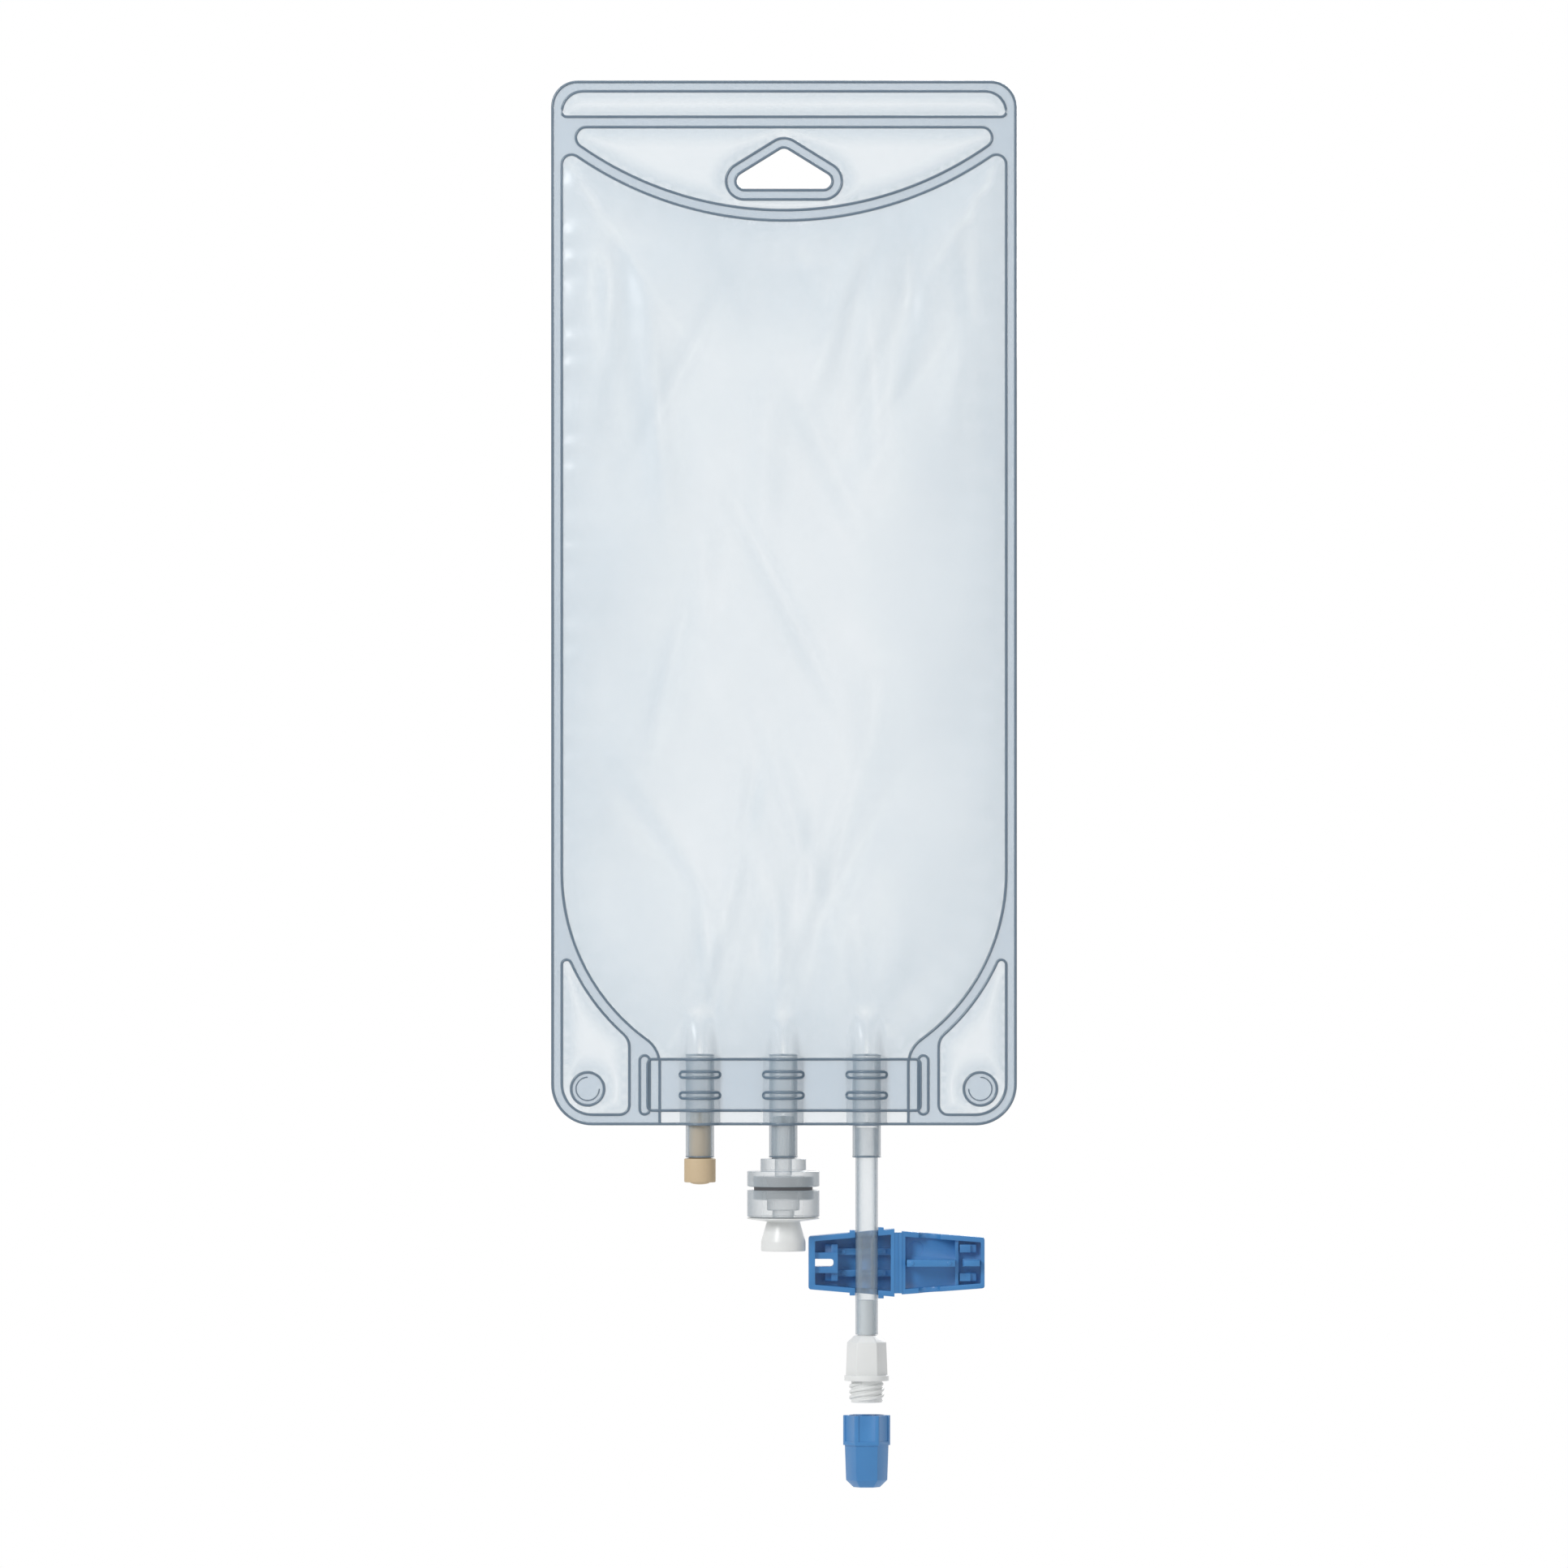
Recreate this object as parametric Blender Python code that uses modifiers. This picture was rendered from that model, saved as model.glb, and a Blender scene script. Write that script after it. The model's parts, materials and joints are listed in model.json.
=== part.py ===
# Flexible fluid bag for a hospital drip stand: two clear films welded together, three port
# tubes, an injection stopper, an infusion port with a pull-off cap, and a filling tube with
# a clamshell clamp and a capped connector.
#
# The bag hangs upright as on its hook. +Z is up, +X is to the right seen from the front,
# and the front film faces -Y. The origin is the top of the hanger hole, on the plane where
# the two films meet, which is where the hook bears.

import math

import bmesh
import bpy
from mathutils import Matrix, Vector
from mathutils.geometry import delaunay_2d_cdt

MM = 0.001
GAP = 0.3 * MM                      # clearance between pieces that seat on each other

# Bag
BAG_WIDTH = 135.0 * MM
BAG_HEIGHT = 303.1 * MM
HANGER_DROP = 19.6 * MM             # bag's top edge down to the top of the hanger hole
TOP_CORNER = 7.5 * MM
BOTTOM_CORNER = 11.8 * MM
FILM = 0.3 * MM
WELD = 3.0 * MM                     # width of every welded border

# Unwelded fields above the chamber
HEADER_HEIGHT = 7.4 * MM
HEADER_TOP_CORNER = 6.1 * MM
HEADER_LOW_CORNER = 1.4 * MM
HEADER_PUFF = 0.6 * MM
CRESCENT_DEPTH = 24.1 * MM
CRESCENT_END = 3.0 * MM             # radius of the crescent's two ends
CRESCENT_ARC = 103.1 * MM           # radius of its lower edge
CRESCENT_PUFF = 0.8 * MM
CRESCENT_RISE = 5.0 * MM            # distance from the weld over which it puffs up

# Hanger hole, a triangle with rounded corners
HOLE_HALF_WIDTH = 13.8 * MM
HOLE_HEIGHT = 11.8 * MM
HOLE_CORNER = 2.36 * MM

# Chamber
BELLY = 5.0 * MM                    # how far each film stands out at the middle
BELLY_RISE = 45.0 * MM              # distance from the weld over which it stands out
BELLY_FULLNESS = 0.8
CHAMBER_CORNER = 2.83 * MM
CHAMBER_SIDE_END = 73.3 * MM        # bag's bottom edge up to where the sides curve in
CHAMBER_CURVE = 60.0 * MM
MOUTH_HALF_WIDTH = 36.1 * MM
MOUTH_FILLET = 8.95 * MM

# Corner pockets with their push-out eyelets
POCKET_INNER_X = 44.9 * MM
POCKET_FILLET = 5.0 * MM
POCKET_TIP = 1.4 * MM
POCKET_LOW_CORNER = 2.83 * MM
POCKET_OUTER_CORNER = 8.9 * MM
POCKET_PUFF = 0.8 * MM
POCKET_RISE = 5.0 * MM
EYELET_INSET = 10.5 * MM            # bag's side edge in to the eyelet's centre
EYELET_RISE = 10.5 * MM             # bag's bottom edge up to the eyelet's centre
EYELET_RING = 4.8 * MM
EYELET_SLIT = 3.37 * MM             # middle radius of the die-cut slit
SLIT_WIDTH = 0.4 * MM
SLIT_TURN = 270.0                   # degrees; the tab hangs on the rest

# Port weld
BAR_HEIGHT = 14.9 * MM
BAR_RISE = 4.2 * MM                 # bag's bottom edge up to the weld bar
STADIUM_X = 40.45 * MM
STADIUM_WIDTH = 2.87 * MM
STADIUM_HEIGHT = 17.1 * MM
STADIUM_RELIEF = 0.3 * MM
BEAD_HEIGHT = 1.75 * MM
BEAD_RELIEF = 0.35 * MM
BEAD_DROPS = (3.6 * MM, 9.6 * MM)   # weld bar's upper edge down to each sealing bead
RELIEF_EDGE = 0.3 * MM
WRAP_HALF_WIDTH = 5.84 * MM         # from a port's middle to where the films meet again
WRAP_FADE = 13.0 * MM               # length over which the wrap fades into the chamber
WRAP_FACET = 26.0                   # degrees round a tube that one flat of the film spans

# Port tubes
PORT_PITCH = 24.2 * MM
PORT_SHIFT = -0.2 * MM              # middle port's place from the bag's middle
PORT_RADIUS = 4.13 * MM
PORT_BORE = 3.55 * MM
PORT_RISE = 20.6 * MM               # bag's bottom edge up to the tube's upper end
PORT_BELOW = 9.4 * MM               # how far a tube reaches below the bag

# Injection stopper in the left port
STOPPER_STEM = 13.6 * MM
STOPPER_TIP_RADIUS = 2.77 * MM
STOPPER_CHAMFER = 1.9 * MM
STOPPER_TAPER = 0.15 * MM
STOPPER_HEAD_RADIUS = 4.57 * MM
STOPPER_HEAD = 6.9 * MM
STOPPER_DOME_RADIUS = 2.85 * MM
STOPPER_DOME = 0.65 * MM
DOME_SHOULDER = (0.6, 0.75)         # shares of the dome's radius and height

# Infusion port in the middle
SPIGOT_LENGTH = 12.0 * MM
SPIGOT_BORE = 2.5 * MM
FLANGE_RADIUS = 6.65 * MM
FLANGE_HEIGHT = 3.6 * MM
HOUSING_RADIUS = 10.54 * MM
UPPER_HOUSING = 4.5 * MM
HOUSING_ROOF = 1.5 * MM
SEPTUM_RADIUS = 8.52 * MM
SEPTUM_HEIGHT = 6.2 * MM
HOUSING_SPLIT = 1.0 * MM            # open groove between the two housings
RETAINER_HEIGHT = 7.8 * MM
RETAINER_BORE = 4.8 * MM
RETAINER_FLOOR = 1.85 * MM
SPIKE_HOLE = 3.2 * MM
EDGE = 0.3 * MM                     # chamfer on the housings' outer edges
MEMBRANE_EDGE = 0.3 * MM
MEMBRANE_CONE = 0.8 * MM
MEMBRANE_INNER = 5.04 * MM
KNOB_TOP_RADIUS = 4.8 * MM
KNOB_RADIUS = 6.45 * MM
KNOB_FLARE = 5.8 * MM
KNOB_RIM = 2.8 * MM

# Filling tube
TUBE_WALL = 0.5 * MM
TUBE_INSERT = 8.6 * MM              # length inside the port tube
TUBE_FREE = 51.4 * MM
TUBE_STATION = 2.5                  # tube diameters between the route's points
TUBE_SIDES = 12

# Clamshell clamp, lying open: the base behind the tube, the lid beside it
FOLD_FROM_TUBE = 9.12 * MM
CLAMP_DROP = 30.6 * MM              # port tube's lower end down to the clamp's middle
RIM_FRONT = 1.2 * MM                # both rims lie this far in front of the tube's axis
CLAMP_FLOOR = 1.4 * MM
CLAMP_CORNER = 0.7 * MM
TRAY_CORNER = 0.3 * MM              # inside the walls
SIDE_WALL = 1.5 * MM
HINGE_WALL = 1.06 * MM
WEB_THICKNESS = 0.5 * MM
WEB_MARGIN = 0.4 * MM
BASE_LENGTH = 26.0 * MM
BASE_HALF_HEIGHT = 9.9 * MM         # at the fold
BASE_TAPER = 0.085                  # half height lost with each unit of length
BASE_END_WALL = 1.9 * MM
BASE_RIB_HEIGHT = 2.2 * MM
LID_LENGTH = 25.1 * MM
LID_HALF_HEIGHT = 9.24 * MM
LID_TAPER = 0.073
LID_END_WALL = 1.1 * MM
LID_DEPTH = 3.2 * MM                # rim to floor
RIB_WIDTH = 1.93 * MM
RIB_OFFSET = 3.13 * MM              # base ribs above and below the clamp's middle
PINCH = 1.15 * MM                   # lid rib's tip in front of the base ribs when shut
STEP_AT = 17.5 * MM                 # fold to the ledge at the ribs' far end
STEP_RISE = 1.2 * MM
LID_RIB_START = 2.5 * MM
LID_RIB_END = 16.5 * MM
LID_CROSS_WALL = 1.06 * MM
LID_CROSS_DROP = 0.9 * MM
LUG_WIDTH = 1.4 * MM
LUG_STAND = 0.75 * MM
LUG_DEPTH = 5.0 * MM
CHANNEL_HALF = 2.99 * MM            # raised strip round the latch window
CHANNEL_TOP = 1.5 * MM              # its top, below the rim
WINDOW_START = 18.75 * MM
WINDOW_HALF = 1.13 * MM
WINDOW_CORNER = 0.8 * MM
TONGUE_TIP = 2.5 * MM               # tongue's tip, past the rim
CATCH_HEIGHT = 2.33 * MM
BASE_CATCH_STEPS = ((0.0 * MM, 3.7 * MM, 3.8 * MM), (0.0 * MM, 1.9 * MM, 2.6 * MM))
LID_CATCH_STEPS = ((0.4 * MM, 5.2 * MM, 1.8 * MM), (0.4 * MM, 3.5 * MM, 0.8 * MM))
PIP_RADIUS = 0.7 * MM
PIP_HEIGHT = 0.25 * MM
BASE_PIPS = (3.9 * MM, 15.8 * MM)
LID_PIPS = (3.9 * MM, 14.84 * MM)
GATE_RADIUS = 2.2 * MM
GATE_DEPTH = 0.35 * MM
GATE_PLACE = (5.2 * MM, 4.05 * MM)

# Connector on the filling tube's end
BARB_LENGTH = 10.0 * MM
BARB_LIPS = 3
BARB_LIP = 0.3 * MM
BARB_ROOT = 1.5 * MM                # plain length below the lips
BARB_RAMP = 0.6                     # share of each lip's length that slopes
BARB_NOSE = 0.1 * MM
CONNECTOR_BORE = 1.4 * MM
SOCKET_RADIUS = 2.15 * MM
SOCKET_DEPTH = 6.5 * MM
SOCKET_TAPER = 0.2 * MM
HEX_NECK = 3.68 * MM
HEX_TOP = 5.75 * MM
HEX_BOTTOM = 6.13 * MM
HEX_CHAMFER = 2.0 * MM
HEX_HEIGHT = 9.5 * MM
COLLAR_RADIUS = 6.46 * MM
COLLAR_HEIGHT = 1.6 * MM
THREAD_RADIUS = 4.85 * MM
THREAD_LENGTH = 6.3 * MM

# Cap, taken off and held below the connector
CAP_OPEN_GAP = 3.7 * MM             # connector's end down to the cap's mouth
CAP_SKIRT = 6.83 * MM
SKIRT_HEIGHT = 8.7 * MM
SKIRT_LEDGE = 1.15 * MM
PANEL_HALF = 2.35 * MM
PANEL_DEPTH = 0.28 * MM
CAP_BODY_TOP = 6.35 * MM
CAP_BODY_BOTTOM = 6.0 * MM
CAP_BODY_HEIGHT = 10.1 * MM
CAP_END = 3.84 * MM
CAP_END_CHAMFER = 2.1 * MM
CAP_CLEARANCE = 0.4 * MM            # cap's bore round the thread
CAP_BORE_DEPTH = 7.6 * MM

# Facets, and the spacing of the points that carry the film's form
ROUND_STEPS = 32
TUBE_STEPS = 24
BORE_STEPS = 20
PIP_STEPS = 10
EDGE_STRETCH = 30.0 * MM
CHAMBER_STRETCH = 13.0 * MM
RIM_ROWS = ((3.0 * MM, 10.0 * MM), (9.0 * MM, 12.0 * MM))   # depth inside the weld, spacing
BELLY_GRID = (16.0 * MM, 9.0 * MM)  # spacing, distance kept from other points
CRESCENT_GRID = (5.5 * MM, 2.6 * MM)
HEADER_GRID = (8.6 * MM, 3.2 * MM)
POCKET_GRID = (5.5 * MM, 2.4 * MM)
EYELET_CLEAR = 1.5 * MM
FADE_SHARES = (0.35, 0.65, 1.0)

OVERRUN = 1.0 * MM                  # how far a cutter passes the face it cuts
SUNK = 0.2 * MM                     # how far a joined rib or boss starts inside its wall

# Places that follow from the sizes
HALF_WIDTH = BAG_WIDTH / 2
BAG_TOP = HANGER_DROP
BAG_BOTTOM = BAG_TOP - BAG_HEIGHT
FIELD_X = HALF_WIDTH - WELD
HEADER_TOP = BAG_TOP - WELD
HEADER_BOTTOM = HEADER_TOP - HEADER_HEIGHT
CRESCENT_TOP = HEADER_BOTTOM - WELD
ARC_CENTRE = (0.0, CRESCENT_TOP - CRESCENT_DEPTH + CRESCENT_ARC)
CHAMBER_ARC = CRESCENT_ARC + WELD
CURVE_CENTRE = (FIELD_X - CHAMBER_CURVE, BAG_BOTTOM + CHAMBER_SIDE_END)
BAR_BOTTOM = BAG_BOTTOM + BAR_RISE
BAR_TOP = BAR_BOTTOM + BAR_HEIGHT
EYELET = (HALF_WIDTH - EYELET_INSET, BAG_BOTTOM + EYELET_RISE)
PORT_XS = tuple(PORT_SHIFT + k * PORT_PITCH for k in (-1, 0, 1))
PORT_TOP = BAG_BOTTOM + PORT_RISE
PORT_LOW = BAG_BOTTOM - PORT_BELOW
WRAP_ARC = (PORT_RADIUS + GAP) / math.cos(math.radians(WRAP_FACET / 2))
WRAP_TANGENT = WRAP_ARC ** 2 / WRAP_HALF_WIDTH
INSERT_RADIUS = PORT_BORE - GAP
SEAT_Z = PORT_LOW - GAP
HOUSING_TOP = SEAT_Z - FLANGE_HEIGHT
HOUSING_LOW = HOUSING_TOP - UPPER_HOUSING
RETAINER_TOP = HOUSING_LOW - HOUSING_SPLIT
RETAINER_LOW = RETAINER_TOP - RETAINER_HEIGHT
SEPTUM_TOP = HOUSING_TOP - HOUSING_ROOF - GAP
SEPTUM_LOW = SEPTUM_TOP - SEPTUM_HEIGHT
SEPTUM_SEAT = SEPTUM_RADIUS + GAP
TUBE_LOW = PORT_LOW - TUBE_FREE
BARB_RADIUS = INSERT_RADIUS * math.cos(math.pi / TUBE_SIDES) - TUBE_WALL - GAP
HINGE = (PORT_XS[2] + FOLD_FROM_TUBE, -RIM_FRONT, PORT_LOW - CLAMP_DROP)
NOTCH_RADIUS = INSERT_RADIUS + GAP
RIB_TOP = RIM_FRONT + NOTCH_RADIUS
BASE_DEPTH = RIB_TOP + BASE_RIB_HEIGHT
LID_RIB_TIP = PINCH - RIB_TOP
HEX_Z = TUBE_LOW - GAP
COLLAR_TOP = HEX_Z - HEX_CHAMFER - HEX_HEIGHT
THREAD_TOP = COLLAR_TOP - COLLAR_HEIGHT
CONNECTOR_LOW = THREAD_TOP - THREAD_LENGTH
CAP_TOP = CONNECTOR_LOW - CAP_OPEN_GAP
SKIRT_LOW = CAP_TOP - SKIRT_HEIGHT
CAP_BORE = THREAD_RADIUS + CAP_CLEARANCE


# Scene

for old in list(bpy.data.objects):
    bpy.data.objects.remove(old)

parts = bpy.data.collections.new("iv_fluid_bag")
cutters = bpy.data.collections.new("cutters")
bpy.context.scene.collection.children.link(parts)
bpy.context.scene.collection.children.link(cutters)


def finish(name, colour, roughness, alpha=1.0):
    material = bpy.data.materials.new(name)
    material.use_nodes = True
    shader = material.node_tree.nodes["Principled BSDF"]
    shader.inputs["Base Color"].default_value = (*colour, 1.0)
    shader.inputs["Roughness"].default_value = roughness
    shader.inputs["Metallic"].default_value = 0.0
    shader.inputs["Alpha"].default_value = alpha
    return material


# Modelling helpers

def add_object(name, mesh, material=None, at=(0, 0, 0)):
    thing = bpy.data.objects.new(name, mesh)
    thing.location = at
    parts.objects.link(thing)
    if material:
        mesh.materials.clear()
        mesh.materials.append(material)
    return thing


def combine(target, other, operation):
    # Joins or cuts the target with another shape, which becomes a wire guide.
    parts.objects.unlink(other)
    cutters.objects.link(other)
    other.hide_render = True
    other.display_type = "WIRE"
    step = target.modifiers.new(other.name, "BOOLEAN")
    step.operation = operation
    step.solver = "EXACT"
    step.object = other


def mesh_from(name, build):
    # A mesh from a function that fills a bmesh, with its faces pointing out.
    bm = bmesh.new()
    build(bm)
    bmesh.ops.recalc_face_normals(bm, faces=bm.faces)
    mesh = bpy.data.meshes.new(name)
    bm.to_mesh(mesh)
    bm.free()
    return mesh


def turned(name, profile, material=None, at=(0, 0, 0), steps=ROUND_STEPS, closed=False):
    # A solid of revolution from (radius, z) points, down the outer side first.
    mesh = bpy.data.meshes.new(name)
    edges = [(k, k + 1) for k in range(len(profile) - 1)]
    if closed:
        edges.append((len(profile) - 1, 0))
    mesh.from_pydata([(r, 0, z) for r, z in profile], edges, [])
    thing = add_object(name, mesh, material, at)
    screw = thing.modifiers.new("turn", "SCREW")
    screw.steps = screw.render_steps = steps
    screw.use_merge_vertices = True
    screw.merge_threshold = 0.00001
    screw.use_smooth_shade = False
    return thing


def curve_mesh(shape, place):
    # A curve object as a mesh, moved by a matrix. The curve goes.
    view = bpy.context.evaluated_depsgraph_get()
    drawn = bpy.data.meshes.new_from_object(shape.evaluated_get(view))
    name = shape.name
    bpy.data.objects.remove(shape)

    def weld(bm):
        bm.from_mesh(drawn)
        bmesh.ops.remove_doubles(bm, verts=bm.verts, dist=0.000001)
        bmesh.ops.transform(bm, matrix=place, verts=bm.verts)

    return mesh_from(name, weld)


def slab(name, outline, front, back, material=None, at=(0, 0, 0)):
    # A flat outline in X and Z, given its thickness between two depths along Y.
    curve = bpy.data.curves.new(name, "CURVE")
    curve.dimensions = "2D"
    curve.fill_mode = "BOTH"
    curve.extrude = (back - front) / 2
    spline = curve.splines.new("POLY")
    spline.points.add(len(outline) - 1)
    for point, (x, z) in zip(spline.points, outline):
        point.co = (x, z, 0, 1)
    spline.use_cyclic_u = True
    shape = bpy.data.objects.new(name, curve)
    parts.objects.link(shape)
    upright = Matrix.Rotation(math.pi / 2, 4, "X")
    mesh = curve_mesh(shape, Matrix.Translation((0, (front + back) / 2, 0)) @ upright)
    return add_object(name, mesh, material, at)


def block(name, low, high, at=(0, 0, 0)):
    # A box between two corners.
    size = Vector(high) - Vector(low)
    middle = (Vector(high) + Vector(low)) / 2
    place = Matrix.Translation(middle) @ Matrix.Diagonal((*size, 1))
    mesh = mesh_from(name, lambda bm: bmesh.ops.create_cube(bm, size=1.0, matrix=place))
    return add_object(name, mesh, None, at)


def rod(name, start, end, radius, steps=TUBE_STEPS, at=(0, 0, 0)):
    # A cylinder between two points.
    along = Vector(end) - Vector(start)
    turn = along.to_track_quat("Z", "Y").to_matrix().to_4x4()
    place = Matrix.Translation((Vector(start) + Vector(end)) / 2) @ turn

    def build(bm):
        bmesh.ops.create_cone(
            bm, cap_ends=True, segments=steps, radius1=radius, radius2=radius,
            depth=along.length, matrix=place,
        )

    return add_object(name, mesh_from(name, build), None, at)


def hexagon(name, sections, material=None, at=(0, 0, 0)):
    # A six-sided bar with corners to the left and right, from (z, radius) sections.
    turns = [math.radians(60 * k) for k in range(6)]

    def build(bm):
        rings = [
            [bm.verts.new((r * math.cos(a), r * math.sin(a), z)) for a in turns]
            for z, r in sections
        ]
        for low, high in zip(rings, rings[1:]):
            for k in range(6):
                bm.faces.new((low[k - 1], low[k], high[k], high[k - 1]))
        bm.faces.new(rings[0])
        bm.faces.new(rings[-1])

    return add_object(name, mesh_from(name, build), material, at)


# Plane geometry, as (x, z) points

def arc(centre, radius, start, end, steps):
    # Points on a circle, both ends included, angles in degrees.
    turns = [math.radians(start + (end - start) * k / steps) for k in range(steps + 1)]
    return [(centre[0] + radius * math.cos(a), centre[1] + radius * math.sin(a)) for a in turns]


def angle_to(centre, point):
    return math.degrees(math.atan2(point[1] - centre[1], point[0] - centre[0]))


def mirrored(right):
    # A half outline on +X, from top to bottom, closed with its mirror image.
    return right + [(-x, z) for x, z in reversed(right) if abs(x) > 1e-9]


def flipped(outline, side):
    return [(side * x, z) for x, z in outline]


def rounded(corners, radius, steps):
    # An outline round equal circles at the corners, given anticlockwise.
    outline = []
    for k, centre in enumerate(corners):
        start = angle_to(corners[k - 1], centre) - 90
        end = angle_to(centre, corners[(k + 1) % len(corners)]) - 90
        outline += arc(centre, radius, start, end + 360 * (end < start), steps)
    return outline


def tangent_circle(x, radius, other, other_radius):
    # Centre of a circle at x that touches another circle from outside, on its lower side.
    reach = other_radius + radius
    return (x, other[1] - math.sqrt(reach ** 2 - (x - other[0]) ** 2))


def distance(x, z, outline):
    # Shortest distance from a point to a closed outline.
    best = 1.0
    for k, (bx, bz) in enumerate(outline):
        ax, az = outline[k - 1]
        dx, dz = bx - ax, bz - az
        share = ((x - ax) * dx + (z - az) * dz) / (dx * dx + dz * dz)
        share = min(max(share, 0.0), 1.0)
        best = min(best, math.hypot(x - ax - share * dx, z - az - share * dz))
    return best


def inside(x, z, outline):
    odd = False
    for k, (bx, bz) in enumerate(outline):
        ax, az = outline[k - 1]
        if (az > z) != (bz > z) and x < ax + (bx - ax) * (z - az) / (bz - az):
            odd = not odd
    return odd


def divided(outline, spacing):
    # The outline with its long edges cut into equal stretches.
    points = []
    for k, (bx, bz) in enumerate(outline):
        ax, az = outline[k - 1]
        count = max(1, round(math.hypot(bx - ax, bz - az) / spacing))
        points += [(ax + (bx - ax) * i / count, az + (bz - az) * i / count) for i in range(count)]
    return points


# Outlines of the bag's edge, unwelded fields and holes

def bag_edge():
    top = (HALF_WIDTH - TOP_CORNER, BAG_TOP - TOP_CORNER)
    low = (HALF_WIDTH - BOTTOM_CORNER, BAG_BOTTOM + BOTTOM_CORNER)
    return mirrored(arc(top, TOP_CORNER, 90, 0, 5) + arc(low, BOTTOM_CORNER, 0, -90, 6))


def header_field():
    top = (FIELD_X - HEADER_TOP_CORNER, HEADER_TOP - HEADER_TOP_CORNER)
    low = (FIELD_X - HEADER_LOW_CORNER, HEADER_BOTTOM + HEADER_LOW_CORNER)
    return mirrored(arc(top, HEADER_TOP_CORNER, 90, 0, 5) + arc(low, HEADER_LOW_CORNER, 0, -90, 2))


def crescent_field():
    end_z = CRESCENT_TOP - CRESCENT_END
    reach = CRESCENT_ARC - CRESCENT_END
    end = (math.sqrt(reach ** 2 - (ARC_CENTRE[1] - end_z) ** 2), end_z)
    leave = angle_to(ARC_CENTRE, end)
    right = arc(end, CRESCENT_END, 90, leave, 6)
    return mirrored(right + arc(ARC_CENTRE, CRESCENT_ARC, leave, -90, 8)[1:])


def hanger_hole(grow=0.0):
    low_z = HOLE_CORNER - HOLE_HEIGHT
    side = HOLE_HALF_WIDTH - HOLE_CORNER
    return rounded([(0, -HOLE_CORNER), (-side, low_z), (side, low_z)], HOLE_CORNER + grow, 4)


def chamber_field():
    corner = tangent_circle(FIELD_X - CHAMBER_CORNER, CHAMBER_CORNER, ARC_CENTRE, CHAMBER_ARC)
    meet = angle_to(ARC_CENTRE, corner)
    right = arc(ARC_CENTRE, CHAMBER_ARC, -90, meet, 8)
    right += arc(corner, CHAMBER_CORNER, meet + 180, 0, 5)[1:]
    fillet_x = MOUTH_HALF_WIDTH + MOUTH_FILLET
    fillet = tangent_circle(fillet_x, MOUTH_FILLET, CURVE_CENTRE, CHAMBER_CURVE)
    leave = angle_to(CURVE_CENTRE, fillet)
    right += arc(CURVE_CENTRE, CHAMBER_CURVE, 0, leave, 8)
    above = max(BAR_TOP - fillet[1], 0)
    stop = 180 - math.degrees(math.asin(above / MOUTH_FILLET))
    right += arc(fillet, MOUTH_FILLET, leave + 180, stop, 4)[1:]
    if fillet[1] > BAR_TOP:
        right.append((MOUTH_HALF_WIDTH, BAR_TOP))
    return mirrored(right)


def corner_pocket():
    slant = CHAMBER_CURVE + WELD
    low = BAG_BOTTOM + WELD
    tip = tangent_circle(FIELD_X - POCKET_TIP, POCKET_TIP, CURVE_CENTRE, slant)
    fillet = tangent_circle(POCKET_INNER_X + POCKET_FILLET, POCKET_FILLET, CURVE_CENTRE, slant)
    tip_turn, fillet_turn = angle_to(CURVE_CENTRE, tip), angle_to(CURVE_CENTRE, fillet)
    outer = (FIELD_X - POCKET_OUTER_CORNER, low + POCKET_OUTER_CORNER)
    inner = (POCKET_INNER_X + POCKET_LOW_CORNER, low + POCKET_LOW_CORNER)
    outline = arc(tip, POCKET_TIP, tip_turn + 180, 0, 3)
    outline += arc(outer, POCKET_OUTER_CORNER, 0, -90, 5)
    outline += arc(inner, POCKET_LOW_CORNER, -90, -180, 3)
    outline += arc(fillet, POCKET_FILLET, 180, fillet_turn + 180, 3)
    return outline + arc(CURVE_CENTRE, slant, fillet_turn, tip_turn, 5)[1:-1]


def eyelet_slit():
    start = 180.0
    outer = arc(EYELET, EYELET_SLIT + SLIT_WIDTH / 2, start, start + SLIT_TURN, 14)
    return outer + arc(EYELET, EYELET_SLIT - SLIT_WIDTH / 2, start + SLIT_TURN, start, 14)


def stadium(inset):
    half = (STADIUM_HEIGHT - STADIUM_WIDTH) / 2
    middle = (BAR_TOP + BAR_BOTTOM) / 2
    radius = STADIUM_WIDTH / 2 - inset
    top = arc((STADIUM_X, middle + half), radius, 0, 180, 5)
    return top + arc((STADIUM_X, middle - half), radius, 180, 360, 5)


# The film's form

EDGE_LINE = bag_edge()
HEADER = header_field()
CRESCENT = crescent_field()
HOLE = hanger_hole()
HOLE_RING = hanger_hole(WELD)
CHAMBER = chamber_field()
POCKET = corner_pocket()
SLIT = eyelet_slit()


def puff(height, rise, away):
    return height * math.sin(math.pi / 2 * min(away / rise, 1.0))


def wrap_height(offset):
    # Inner side of a film that is drawn over a port tube.
    across = abs(offset)
    if across >= WRAP_HALF_WIDTH:
        return 0.0
    if across <= WRAP_TANGENT:
        return math.sqrt(WRAP_ARC ** 2 - across ** 2)
    top = math.sqrt(WRAP_ARC ** 2 - WRAP_TANGENT ** 2)
    return top * (WRAP_HALF_WIDTH - across) / (WRAP_HALF_WIDTH - WRAP_TANGENT)


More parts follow.
